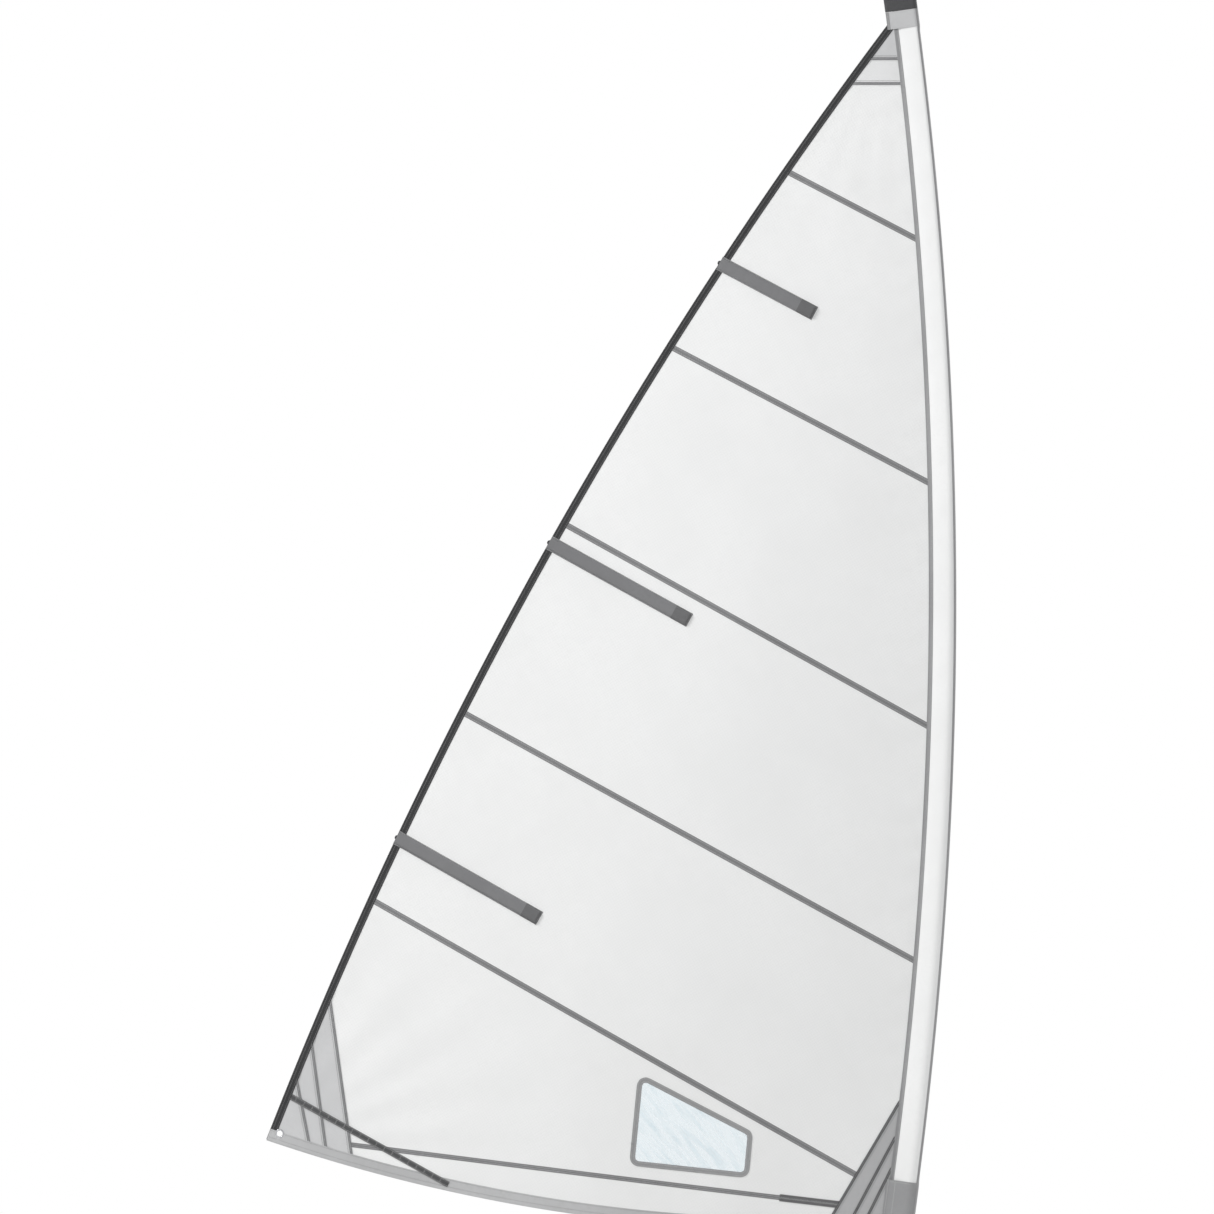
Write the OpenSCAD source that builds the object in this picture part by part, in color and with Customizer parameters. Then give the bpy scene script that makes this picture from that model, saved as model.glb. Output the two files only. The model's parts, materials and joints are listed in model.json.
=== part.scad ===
// Windsurf sail rig: a sleeved triangular sail on a bent two-piece mast, above a mast foot,
// a two-axis universal joint and a deck plate. Millimetres, +Z up. The origin is the centre
// of the deck plate's underside. The sail hangs aft of the mast, towards -X, and its belly
// fills towards -Y.

/* [Mast] */
// Length of the whole mast along its bend
mast_length = 4600; // [4590:1:4620]
// Length of the bottom section of the mast
bottom_length = 2300; // [2000:10:2600]
// Outer diameter of the mast at its heel
heel_d = 58; // [57:0.5:59]
// Outer diameter of the mast at its tip
tip_d = 26; // [24:0.5:28]
// Wall thickness of the mast tube
mast_wall = 4; // [3.5:0.5:4.5]
// Radius of the bend that the tight luff puts into the mast
luff_r = 16700; // [16600:10:16800]
// Forward lean of the mast at its heel, in degrees
heel_lean = 8; // [7.9:0.1:8.1]

/* [Sleeve] */
// Width of the mast sleeve at its foot, front to seam
sleeve_foot_w = 103; // [99:1:105]
// Width of the mast sleeve at its head, front to seam
sleeve_head_w = 88; // [84:1:92]
// Width of the reinforced ends of the sleeve
sleeve_end_w = 118; // [114:1:122]
// Thickness of the sleeve cloth
sleeve_t = 1.2; // [1:0.1:1.5]

/* [Sail outline] */
// Clew corner, fore and aft
clew_x = -2343; // [-2360:1:-2330]
// Clew corner, height
clew_z = 536; // [528:1:542]
// Head end of the leech, fore and aft
head_x = -53; // [-56:1:-48]
// Head end of the leech, height
head_z = 4650; // [4640:1:4660]
// Tack corner, fore and aft
tack_x = 32; // [25:1:40]
// Tack corner, height
tack_z = 211; // [208:1:216]
// Radius of the leech's outward curve
leech_r = 17320; // [16700:10:18000]
// Radius of the foot's downward curve
foot_r = 6380; // [6200:10:6600]
// Radius that sets how deep the belly is: a larger radius makes a flatter sail
belly_r = 7500; // [7000:100:12000]
// Place along the chord where the sail runs straight to the leech
straight_from = 0.62; // [0.58:0.01:0.68]

/* [Seams] */
// Luff height of the seam along the foot shelf
foot_seam_s = 59; // [54:1:62]
// Luff height of the seam above the window
window_seam_s = 122; // [118:1:128]
// Luff height of the seam above the bottom batten
lower_seam_s = 994; // [980:1:1000]
// Luff height of the seam above the middle batten
middle_seam_s = 1868; // [1855:1:1875]
// Luff height of the seam below the top batten
upper_seam_s = 2774; // [2765:1:2785]
// Luff height of the seam above the top batten
head_seam_s = 3682; // [3670:1:3690]
// Rise of the foot seam towards the clew, in degrees
foot_seam_rise = 7; // [6.9:0.1:7.1]
// Rise of the window seam towards the leech, in degrees
window_seam_rise = 29.6; // [29:0.1:30]
// Rise of the lower seam
lower_seam_rise = 28.8; // [28.4:0.1:29.2]
// Rise of the middle seam
middle_seam_rise = 29.1; // [28.7:0.1:29.5]
// Rise of the upper seam
upper_seam_rise = 27.8; // [27.4:0.1:28.2]
// Rise of the head seam
head_seam_rise = 27.6; // [27.2:0.1:28]
// Rise of the lines along which the belly is measured
chord_rise = 29; // [28:0.1:30]

/* [Cloth] */
// Thickness of the sail cloth and of each patch
cloth_t = 1; // [0.8:0.1:1.2]
// Thickness of the folded edge tapes
tape_t = 2.4; // [2:0.1:2.6]
// Width of the leech tape
leech_tape_w = 28; // [26:1:32]
// Width of the foot tape
foot_tape_w = 45; // [40:1:48]
// Width of the tape around the window
window_tape_w = 18; // [14:1:22]

/* [Battens] */
// Outer width of a batten pocket
pocket_w = 54; // [50:1:58]
// Width of a batten
batten_w = 38; // [34:1:40]
// Thickness of a batten
batten_t = 4; // [3:0.5:4.5]

/* [Grommets] */
// Radius of the eye of the clew grommet
clew_eye_r = 11; // [9:0.5:12]
// Radius of the eye of the tack grommet
tack_eye_r = 9; // [8:0.5:10]

/* [Mast foot] */
// Distance from the mast heel down to the upper pivot
foot_drop = 123; // [122:1:126]
// Radius of the mast foot casting
casting_r = 26; // [25:0.5:27]
// Radius of the locking stem of the upper yoke
stem_r = 8; // [7.5:0.5:8]
// Travel of the release button
button_travel = 2.2; // [2:0.1:2.2]

/* [Universal joint] */
// Distance between the two crossed pivots
link_span = 44; // [44:1:48]
// Height of the lower pivot above the deck
lower_pivot_z = 42; // [42:1:46]
// Radius of the pivot pins
pin_r = 6; // [5:0.5:6.5]
// Radius of the round ends of the ears and of the link's eyes
eye_r = 13; // [12:0.5:13]
// Radius of the deck plate
plate_r = 50; // [46:1:55]
// Radius of the deck stud
stud_r = 4; // [3:0.5:4]
// Length of the deck stud below the deck plate
stud_drop = 24; // [20:1:30]

/* [Hidden] */
$fn = 48;

// Small distances that keep neighbouring pieces apart
seam_gap = 1;
layer_pitch = 1.8;
fit_gap = 0.05;
// Longest side of a cell in the cloth and longest step along a swept tube
cell = 130;
sweep_step = 200;
// Sides of the mast tubes, and points on each half of a sleeve section's round front
mast_sides = 20;
front_steps = 6;

// ---- Luff: the arc of the sleeve's front, measured by s, the length up from the heel ----
front_gap = sleeve_t + 1;
upper_pivot_z = lower_pivot_z + link_span;
heel = [foot_drop * sin(heel_lean), upper_pivot_z + foot_drop * cos(heel_lean)];
axis_r = luff_r - front_gap - heel_d / 2;
luff_c = heel + axis_r * [-cos(heel_lean), sin(heel_lean)];
function luff_angle(s) = -heel_lean + s / luff_r * 180 / PI;
function luff_out(s) = [cos(luff_angle(s)), sin(luff_angle(s))];
function luff_at(s, depth) = luff_c + (luff_r - depth) * luff_out(s);
function luff_s(p) = (atan2(p.y - luff_c.y, p.x - luff_c.x) + heel_lean) * PI / 180 * luff_r;
function sleeve_w(s) = sleeve_foot_w + (sleeve_head_w - sleeve_foot_w) * s / mast_length;
function seam_at(s, past = 0) = luff_at(s, sleeve_w(s) + past);
function mast_r(s) =
    let (taper_from = mast_length / 4)
    s < taper_from ? heel_d / 2
        : heel_d / 2 - (heel_d - tip_d) / 2 * (s - taper_from) / (mast_length - taper_from);
function mast_depth(s) = front_gap + mast_r(s);

// ---- Outline arcs: each runs from p to q and bulges to the left of that direction ----
function arc_half(p, q, r) = asin(norm(q - p) / 2 / r);
function arc_side(p, q) = let (d = (q - p) / norm(q - p)) [-d.y, d.x];
function arc_centre(p, q, r) = (p + q) / 2 - arc_side(p, q) * r * cos(arc_half(p, q, r));
function arc_at(p, q, r, t, inset) =
    let (d = (q - p) / norm(q - p), a = (2 * t - 1) * arc_half(p, q, r))
    arc_centre(p, q, r) + (r - inset) * (d * sin(a) + arc_side(p, q) * cos(a));
clew = [clew_x, clew_z];
head = [head_x, head_z];
tack = [tack_x, tack_z];
leech_c = arc_centre(clew, head, leech_r);
function leech_at(t, inset = 0) = arc_at(clew, head, leech_r, t, inset);
function foot_at(t, inset = 0) = arc_at(tack, clew, foot_r, 1 - t, inset);

// Distance from p along the unit direction e to the circle about c
function reach(p, e, c, r) =
    let (m = p - c, b = m * e)
    sqrt(max(b * b - m * m + r * r, 0)) - b;
// The value in lo..hi where the test turns from true to false
function turning_point(test, lo, hi, n = 30) =
    let (mid = (lo + hi) / 2)
    n == 0 ? mid
        : test(mid) ? turning_point(test, mid, hi, n - 1) : turning_point(test, lo, mid, n - 1);

// ---- Belly: how far the sail stands towards -Y at a point of its plane ----
function rise(a) = [-cos(a), sin(a)];
belly_at = straight_from * (2 - straight_from) / 2;
function belly(u) =
    u < straight_from ? 1 - pow((u - belly_at) / belly_at, 2)
        : 2 * (straight_from - belly_at) / pow(belly_at, 2) * (1 - u);
function sail_y(p) =
    let (
        s = luff_s(p),
        ahead = reach(p, -rise(chord_rise), luff_c, luff_r - sleeve_w(s)),
        behind = reach(p, rise(chord_rise), leech_c, leech_r),
        chord = ahead + behind
    )
    -pow(chord, 2) / 8 / belly_r * belly(ahead / chord);

// ---- Lines across the sail ----
function lerp(a, b, t) = a + (b - a) * t;
function steps(n) = [for (i = [0 : n]) i / n];
function steps_for(length, step) = max(1, ceil(length / step));
// Luff and leech ends of a seam that starts at luff height s and rises by a degrees
function luff_end(s) = seam_at(s, seam_gap);
function leech_end(s, a) =
    let (p = luff_end(s))
    p + rise(a) * reach(p, rise(a), leech_c, leech_r - leech_tape_w - seam_gap);
// The same for a level line at height z
function level_s(z) = turning_point(function (s) luff_end(s).y < z, 0, mast_length);
function leech_t(p) =
    let (d = (head - clew) / norm(head - clew), m = p - leech_c)
    (asin(m * d / norm(m)) / arc_half(clew, head, leech_r) + 1) / 2;

// ---- Solids from grids of points ----
function flipped(faces, yes) = yes ? [for (f = faces) [f[2], f[1], f[0]]] : faces;
function quad(a, b, c, d) = [[a, b, c], [a, c, d]];
// Rows of points that run straight from each point of one edge to the same point of the other
function ruled(edge_a, edge_b) =
    let (m = steps_for(max([for (i = [0 : len(edge_a) - 1]) norm(edge_b[i] - edge_a[i])]), cell))
    [for (i = [0 : len(edge_a) - 1]) [for (t = steps(m)) lerp(edge_a[i], edge_b[i], t)]];
// A slab of cloth over a grid of points of the sail's plane. It is t thick and stands lift
// off the sail's surface.
module cloth(grid, lift = 0, t = cloth_t) {
    n = len(grid);
    m = len(grid[0]);
    flat = [for (row = grid) each row];
    near = [for (p = flat) [p.x, sail_y(p) - lift - t / 2, p.y]];
    far = [for (p = flat) [p.x, sail_y(p) - lift + t / 2, p.y]];
    k = n * m;
    skin = [for (i = [0 : n - 2]) for (j = [0 : m - 2]) let (a = i * m + j)
        each concat(quad(a, a + 1, a + m + 1, a + m),
                    quad(k + a, k + a + m, k + a + m + 1, k + a + 1))];
    ends = [for (j = [0 : m - 2]) let (a = j, b = (n - 1) * m + j)
        each concat(quad(a, k + a, k + a + 1, a + 1), quad(b, b + 1, k + b + 1, k + b))];
    sides = [for (i = [0 : n - 2]) let (a = i * m, b = i * m + m - 1)
        each concat(quad(a, a + m, k + a + m, k + a), quad(b, k + b, k + b + m, b + m))];
    u = grid[1][m - 1] - grid[0][m - 1];
    v = grid[0][m - 1] - grid[0][0];
    polyhedron(concat(near, far), flipped(concat(skin, ends, sides), u.x * v.y - u.y * v.x < 0));
}
module sheet(edge_a, edge_b, lift = 0, t = cloth_t) {
    cloth(ruled(edge_a, edge_b), lift, t);
}
// A tube with a wall: rings of outer points around rings of inner points. A closed top makes
// it a cap. A slit tube has a gap between the last and the first point of each ring.
module shell(outer, inner, closed = false, slit = false) {
    n = len(outer[0]);
    rows = len(outer);
    k = n * rows;
    top = (rows - 1) * n;
    last = slit ? n - 2 : n - 1;
    skin = [for (i = [0 : rows - 2]) for (j = [0 : last])
        let (a = i * n + j, b = i * n + (j + 1) % n)
        each concat(quad(a, a + n, b + n, b), quad(k + a, k + b, k + b + n, k + a + n))];
    bottom_rim = [for (j = [0 : last]) let (b = (j + 1) % n) each quad(j, b, k + b, k + j)];
    top_rim = [for (j = [0 : last]) let (a = top + j, b = top + (j + 1) % n)
        each quad(a, k + a, k + b, b)];
    lips = slit ? [for (i = [0 : rows - 2]) let (a = i * n, b = i * n + n - 1)
        each concat(quad(a + n, a, k + a, k + a + n), quad(b, b + n, k + b + n, k + b))] : [];
    lids = [for (j = [1 : n - 2]) each [
        [top, top + j + 1, top + j], [k + top, k + top + j, k + top + j + 1]]];
    polyhedron(
        concat([for (r = outer) each r], [for (r = inner) each r]),
        concat(skin, bottom_rim, lips, closed ? lids : top_rim));
}
// A point of the luff's cross-section at s: d behind the sleeve's front, y to the side
function section_point(s, d, y) = let (p = luff_at(s, d)) [p.x, y, p.y];
function round_ring(s, r) = [for (j = [0 : mast_sides - 1]) let (a = 360 * j / mast_sides)
    section_point(s, mast_depth(s) - r * cos(a), r * sin(a))];
// A ring that is round in front, with radius r about the mast, and runs straight back to
// the depth w, where it is half as thick as 2 * half
function drop_ring(s, r, w, half) =
    let (
        c = mast_depth(s),
        a_end = 180 - acos(r / (w - c)),
        side = [for (i = [0 : front_steps]) let (a = a_end * i / front_steps)
            [c - r * cos(a), r * sin(a)]]
    )
    concat([for (p = side) section_point(s, p.x, p.y)], [section_point(s, w, half)],
           [section_point(s, w, -half)],
           [for (i = [front_steps : -1 : 1]) section_point(s, side[i].x, -side[i].y)]);
function sweep(s0, s1) = [for (t = steps_for(s1 - s0, sweep_step) == 1 ? [0, 1]
    : steps(steps_for(s1 - s0, sweep_step))) lerp(s0, s1, t)];

// ---- Sail panels ----
// The grid of a panel between the seam that starts at s0 and the one that starts at s1
function panel_grid(s0, a0, s1, a1) =
    let (
        p0 = leech_end(s0, a0),
        p1 = leech_end(s1, a1),
        rows = steps(steps_for(max(s1 - s0, norm(p1 - p0)), cell * 1.5))
    )
    ruled([for (t = rows) luff_end(lerp(s0, s1, t))],
          [for (t = rows) leech_at(lerp(leech_t(p0), leech_t(p1), t), leech_tape_w + seam_gap)]);
module panel(s0, a0, s1, a1) {
    cloth(panel_grid(s0, a0, s1, a1));
}
// Half of the gap at a seam, as a length along the luff
half_gap = seam_gap / 2;
head_top_z = 4608;
head_top_s = level_s(head_top_z);
module head_panel() {
    color("whitesmoke") panel(head_seam_s + half_gap, head_seam_rise, head_top_s, 0);
}
module upper_panel() {
    color("whitesmoke")
        panel(upper_seam_s + half_gap, upper_seam_rise, head_seam_s - half_gap, head_seam_rise);
}
module upper_middle_panel() {
    color("whitesmoke")
        panel(middle_seam_s + half_gap, middle_seam_rise, upper_seam_s - half_gap, upper_seam_rise);
}
module lower_middle_panel() {
    color("whitesmoke")
        panel(lower_seam_s + half_gap, lower_seam_rise, middle_seam_s - half_gap, middle_seam_rise);
}
module lower_panel() {
    color("whitesmoke")
        panel(window_seam_s + half_gap, window_seam_rise, lower_seam_s - half_gap, lower_seam_rise);
}

// ---- Grommets ----
grommet_flange = 6;
grommet_barrel = 2;
// Depth of the clew grommet inside the corner, on the line halfway between its two edges
clew_eye_in = 56;
clew_eye_rise = 25;
clew_eye = clew + clew_eye_in * [cos(clew_eye_rise), sin(clew_eye_rise)];
tack_eye = [-94, 246];
flange_t = 1.2;
patch_layers = 3;
// Children stand on the sail at a point of its plane, with Y square to the cloth
function sail_slope(p, d) = (sail_y(p + d) - sail_y(p - d)) / 2;
module on_sail(p) {
    dx = sail_slope(p, [1, 0]);
    dz = sail_slope(p, [0, 1]);
    translate([p.x, sail_y(p), p.y])
        rotate([0, 0, atan(dx)]) rotate([-asin(dz / norm([dx, 1, dz])), 0, 0]) children();
}
module along_y(r, y0, y1) {
    translate([0, y1, 0]) rotate([90, 0, 0]) cylinder(r = r, h = y1 - y0);
}
module eye_hole(p, eye_r) {
    on_sail(p) along_y(eye_r + grommet_barrel + 0.5, -60, 60);
}
module grommet(p, r) {
    y0 = -patch_layers * layer_pitch - tape_t / 2;
    y1 = tape_t / 2 + 0.4;
    color("silver") on_sail(p) difference() {
        union() {
            along_y(r + grommet_flange, y0 - flange_t, y0);
            along_y(r + grommet_flange, y1, y1 + flange_t);
            along_y(r + grommet_barrel, y0 - flange_t, y1 + flange_t);
        }
        along_y(r, y0 - 5, y1 + 5);
    }
}
module clew_grommet() { grommet(clew_eye, clew_eye_r); }
module tack_grommet() { grommet(tack_eye, tack_eye_r); }

// ---- Foot of the sail ----
// Ends of a foot curve that lies inset above the edge: at the leech tape and at the sleeve
function foot_start(inset) = turning_point(function (t)
    norm(foot_at(t, inset) - leech_c) > leech_r - leech_tape_w - seam_gap, 0, 0.2);
function foot_stop(inset) = turning_point(function (t)
    let (p = foot_at(t, inset))
    norm(p - luff_c) < luff_r - sleeve_w(0) - seam_gap, 0.8, 1);
foot_steps = steps(18);
function foot_curve(inset) =
    [for (t = foot_steps) foot_at(lerp(foot_start(inset), foot_stop(inset), t), inset)];
// Height of a foot curve, and of the foot seam, at a place along the foot
foot_c = arc_centre(tack, clew, foot_r);
function foot_edge_z(x, inset) =
    foot_c.y - sqrt(pow(foot_r - inset, 2) - pow(x - foot_c.x, 2));
function foot_seam_z(x) =
    let (p = luff_end(foot_seam_s)) p.y + (p.x - x) * tan(foot_seam_rise);
// The window panel's lower edge follows the foot seam, and near the clew the foot tape
module window_panel() {
    tape_in = foot_tape_w + seam_gap;
    low = foot_at(foot_start(tape_in), tape_in);
    high = leech_end(window_seam_s - half_gap, window_seam_rise);
    s0 = foot_seam_s + half_gap;
    rows = steps(steps_for(norm(high - low), cell));
    grid = ruled(
        [for (t = rows) luff_end(lerp(s0, window_seam_s - half_gap, t))],
        [for (t = rows) leech_at(lerp(leech_t(low), leech_t(high), t), leech_tape_w + seam_gap)]);
    lowest = [for (p = grid[0])
        [p.x, max(foot_seam_z(p.x) + half_gap, foot_edge_z(p.x, tape_in) + half_gap)]];
    color("whitesmoke") difference() {
        cloth([for (i = [0 : len(grid) - 1]) i == 0 ? lowest : grid[i]]);
        window_prism(0);
        eye_hole(clew_eye, clew_eye_r);
    }
}
// The foot panel starts where the foot seam has risen clear of the foot tape
module foot_panel() {
    tape_in = foot_tape_w + seam_gap;
    least_h = 8;
    x0 = turning_point(function (x) foot_seam_z(x) - foot_edge_z(x, tape_in) < least_h,
                       clew_x, clew_x / 2);
    x1 = luff_end(foot_seam_s).x;
    x2 = foot_at(foot_stop(tape_in), tape_in).x;
    color("whitesmoke") difference() {
        sheet([for (t = foot_steps) let (x = lerp(x0, x1, t)) [x, foot_seam_z(x) - seam_gap]],
              [for (t = foot_steps) let (x = lerp(x0, x2, t)) [x, foot_edge_z(x, tape_in)]]);
        eye_hole(tack_eye, tack_eye_r);
    }
}
module foot_tape() {
    color("gainsboro") difference() {
        sheet(foot_curve(foot_tape_w), foot_curve(0), 0, tape_t);
        eye_hole(tack_eye, tack_eye_r);
        eye_hole(clew_eye, clew_eye_r);
    }
}
// ---- Leech tape: its top end is cut along the sleeve ----
function leech_stop(inset) = turning_point(function (t)
    norm(leech_at(t, inset) - luff_c) < luff_r - sleeve_w(mast_length) - seam_gap, 0.9, 1.1);
module leech_tape() {
    rows = steps(steps_for(norm(head - clew), cell));
    color("dimgray") difference() {
        sheet([for (t = rows) leech_at(t * leech_stop(0))],
              [for (t = rows) leech_at(t * leech_stop(leech_tape_w), leech_tape_w)], 0, tape_t);
        eye_hole(clew_eye, clew_eye_r);
    }
}

// ---- Window: a clear film in a hole, with a tape around it ----
window_corners = [[-951, 760], [-561, 557], [-574, 417], [-980, 461]];
window_corner_r = 14;
module window_prism(grow) {
    rotate([90, 0, 0]) linear_extrude(height = 400, center = true)
        offset(r = window_corner_r + grow) offset(delta = -window_corner_r)
            polygon(window_corners);
}
// A plain piece of the sail's surface that covers the window and its tape
module window_slab(lift) {
    margin = 60;
    xs = [for (t = steps(5)) lerp(window_corners[3].x - margin, window_corners[1].x + margin, t)];
    sheet([for (x = xs) [x, window_corners[0].y + margin]],
          [for (x = xs) [x, window_corners[2].y - margin]], lift);
}
module window_film() {
    color("lightcyan", 0.5) intersection() {
        window_slab(0);
        window_prism(-0.5);
    }
}
module window_tape() {
    color("lightgray") intersection() {
        window_slab(layer_pitch);
        difference() {
            window_prism(window_tape_w);
            window_prism(0);
        }
    }
}

// ---- Corner patches: each spreads from its corner to a straight inner edge ----
patch_steps = steps(5);
patch_start = 0.08;
module clew_patch(up, along, layer) {
    inset_l = leech_tape_w + seam_gap;
    inset_f = foot_tape_w + seam_gap;
    t0 = foot_start(inset_f);
    corner = foot_at(t0, inset_f);
    l0 = leech_t(corner);
    rows = [for (t = patch_steps) lerp(patch_start, 1, t)];
    color("gainsboro") difference() {
        sheet([for (r = rows) leech_at(l0 + r * up / norm(head - clew), inset_l)],
              [for (r = rows) foot_at(t0 + r * along / norm(tack - clew), inset_f)],
              layer * layer_pitch);
        eye_hole(clew_eye, clew_eye_r);
    }
}
module clew_patch_large() { clew_patch(520, 290, 1); }
module clew_patch_middle() { clew_patch(345, 190, 2); }
module clew_patch_small() { clew_patch(200, 125, 3); }
module tack_patch(up, along, layer) {
    inset_f = foot_tape_w + seam_gap;
    t0 = foot_stop(inset_f);
    s0 = luff_s(foot_at(t0, inset_f));
    rows = [for (t = patch_steps) lerp(patch_start, 1, t)];
    color("gainsboro") difference() {
        sheet([for (r = rows) luff_end(s0 + r * up)],
              [for (r = rows) foot_at(t0 - r * along / norm(tack - clew), inset_f)],
              layer * layer_pitch);
        eye_hole(tack_eye, tack_eye_r);
    }
}
module tack_patch_large() { tack_patch(450, 210, 1); }
module tack_patch_middle() { tack_patch(320, 130, 2); }
module tack_patch_small() { tack_patch(205, 75, 3); }
module head_patch(z, layer) {
    s0 = level_s(z);
    p0 = leech_end(s0, 0);
    p1 = leech_end(head_top_s, 0);
    color("gainsboro")
        sheet([for (t = patch_steps) luff_end(lerp(s0, head_top_s, t))],
              [for (t = patch_steps) leech_at(lerp(leech_t(p0), leech_t(p1), t),
                                              leech_tape_w + seam_gap)],
              layer * layer_pitch);
}
module head_patch_large() { head_patch(4440, 1); }
module head_patch_small() { head_patch(4532, 2); }

// ---- Clew strap: webbing from the leech down to the foot ----
strap_w = 22;
strap_top = [-2250, 696];
strap_end = [-1668, 373];
module clew_strap() {
    d = (strap_end - strap_top) / norm(strap_end - strap_top);
    side = [-d.y, d.x] * strap_w / 2;
    line = [for (t = steps(8)) lerp(strap_top, strap_end, t)];
    color("darkgray")
        sheet([for (p = line) p + side], [for (p = line) p - side], 4 * layer_pitch);
}

// ---- Battens: straight pockets on the sail's near face, open at the leech ----
pocket_wall = 1.2;
pocket_t = 8.6;
cap_length = 26;
cap_t = 5.4;
batten_play = 2;
top_pocket = [[-321, 3598], 28];
middle_pocket = [[-784, 2463], 29];
bottom_pocket = [[-1339, 1361], 29.5];
function pocket_length(k) = reach(k[0], rise(k[1]), leech_c, leech_r);
function pocket_point(k, x, w) = k[0] + rise(k[1]) * x + [sin(k[1]), cos(k[1])] * w;
// How far the straight line between the pocket's ends must stand off to clear the sail
function pocket_lift(k) =
    let (l = pocket_length(k), y0 = sail_y(k[0]))
    max([for (t = steps(8)) for (w = [-pocket_w / 2, 0, pocket_w / 2])
        y0 * (1 - t) - sail_y(pocket_point(k, t * l, w))]) + tape_t / 2 + 0.6;
// Moves children from a frame with X along the pocket to the leech and Z off the sail
module in_pocket(k) {
    l = pocket_length(k);
    y0 = sail_y(k[0]);
    turn = atan2(-y0, l);
    translate([k[0].x, y0 - pocket_lift(k), k[0].y])
        rotate([0, 180 + k[1], 0]) rotate([90, 0, 0]) rotate([0, turn, 0]) children();
}
module pocket(k) {
    l = pocket_length(k);
    color("darkgray") in_pocket(k) difference() {
        translate([0, -pocket_w / 2, 0]) cube([l, pocket_w, pocket_t]);
        translate([pocket_wall, pocket_wall - pocket_w / 2, pocket_wall])
            cube([l, pocket_w - 2 * pocket_wall, pocket_t - 2 * pocket_wall]);
    }
}
module batten(k) {
    l = pocket_length(k) - cap_length - 2 * batten_play;
    color("gold") in_pocket(k)
        translate([pocket_wall + batten_play, -batten_w / 2, (pocket_t - batten_t) / 2])
            cube([l - pocket_wall, batten_w, batten_t]);
}
module batten_cap(k) {
    l = pocket_length(k) - cap_length - batten_play;
    color("black") in_pocket(k) translate([l, 0, pocket_t / 2]) difference() {
        union() {
            translate([0, -batten_w / 2 - 1, -cap_t / 2]) cube([cap_length, batten_w + 2, cap_t]);
            translate([cap_length, 0, -cap_t / 2]) cylinder(r = batten_w / 4, h = cap_t);
        }
        translate([cap_length, 0, -cap_t]) cylinder(r = 3, h = 2 * cap_t);
    }
}
module top_batten_pocket() { pocket(top_pocket); }
module middle_batten_pocket() { pocket(middle_pocket); }
module bottom_batten_pocket() { pocket(bottom_pocket); }
module top_batten() { batten(top_pocket); }
module middle_batten() { batten(middle_pocket); }
module bottom_batten() { batten(bottom_pocket); }
module top_batten_cap() { batten_cap(top_pocket); }
module middle_batten_cap() { batten_cap(middle_pocket); }
module bottom_batten_cap() { batten_cap(bottom_pocket); }

// ---- Sleeve and its reinforced ends ----
sleeve_foot_s = 32;
foot_block_s = 174;
head_block_s = 4468;
cap_s = 4534;
seam_allowance = 14;
module luff_sleeve() {
    rows = sweep(sleeve_foot_s, cap_s + 20);
    color("white") shell(
        [for (s = rows) drop_ring(s, mast_r(s) + front_gap, sleeve_w(s), 1.8)],
        [for (s = rows) drop_ring(s, mast_r(s) + front_gap - sleeve_t,
                                  sleeve_w(s) - seam_allowance, 0.4)]);
}
// The points of a drop_ring, counted from the aft end of its far side
function from_lip(ring) =
    let (n = len(ring)) [for (i = [0 : n - 1]) ring[(i + front_steps + 2) % n]];
// A wrap around the sleeve that is open at its aft edge, for the sail to pass through
module wrap(s0, s1, w, half) {
    t = 1.4;
    gap = 0.8;
    rows = sweep(s0, s1);
    shell([for (s = rows) from_lip(drop_ring(s, mast_r(s) + front_gap + gap + t, w, half + t))],
          [for (s = rows) from_lip(drop_ring(s, mast_r(s) + front_gap + gap, w, half))],
          slit = true);
}
module sleeve_head_reinforcement() {
    color("lightgray") wrap(head_block_s, cap_s - 1, sleeve_end_w, 4);
}
module sleeve_foot_reinforcement() {
    color("lightgray") wrap(sleeve_foot_s + 2, foot_block_s, sleeve_end_w, 11.5);
}
module head_cap() {
    t = 1.8;
    gap = 0.8;
    top = mast_length + 14;
    r = mast_r(cap_s) + front_gap + gap;
    color("dimgray") shell(
        concat([for (s = [cap_s, (cap_s + top) / 2, top]) drop_ring(s, r + t, sleeve_end_w, 4)],
               [drop_ring(top + 8, r - 4, sleeve_end_w - 14, 2)]),
        concat([for (s = [cap_s, (cap_s + top) / 2, top - t]) drop_ring(s, r, sleeve_end_w - t, 2.6)],
               [drop_ring(top + 5, r - 6, sleeve_end_w - 18, 1)]),
        true);
}

// ---- Mast ----
module mast_tube(s0, s1) {
    rows = sweep(s0, s1);
    shell([for (s = rows) round_ring(s, mast_r(s))],
          [for (s = rows) round_ring(s, mast_r(s) - mast_wall)]);
}
module mast_bottom_section() { color("goldenrod") mast_tube(0, bottom_length - half_gap); }
module mast_top_section() { color("goldenrod") mast_tube(bottom_length + half_gap, mast_length); }
module mast_ferrule() {
    overlap = 130;
    wall = 5;
    rows = sweep(bottom_length - overlap, bottom_length + overlap);
    color("dimgray") shell(
        [for (s = rows) round_ring(s, mast_r(s) - mast_wall - 0.6)],
        [for (s = rows) round_ring(s, mast_r(s) - mast_wall - 0.6 - wall)]);
}
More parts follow.
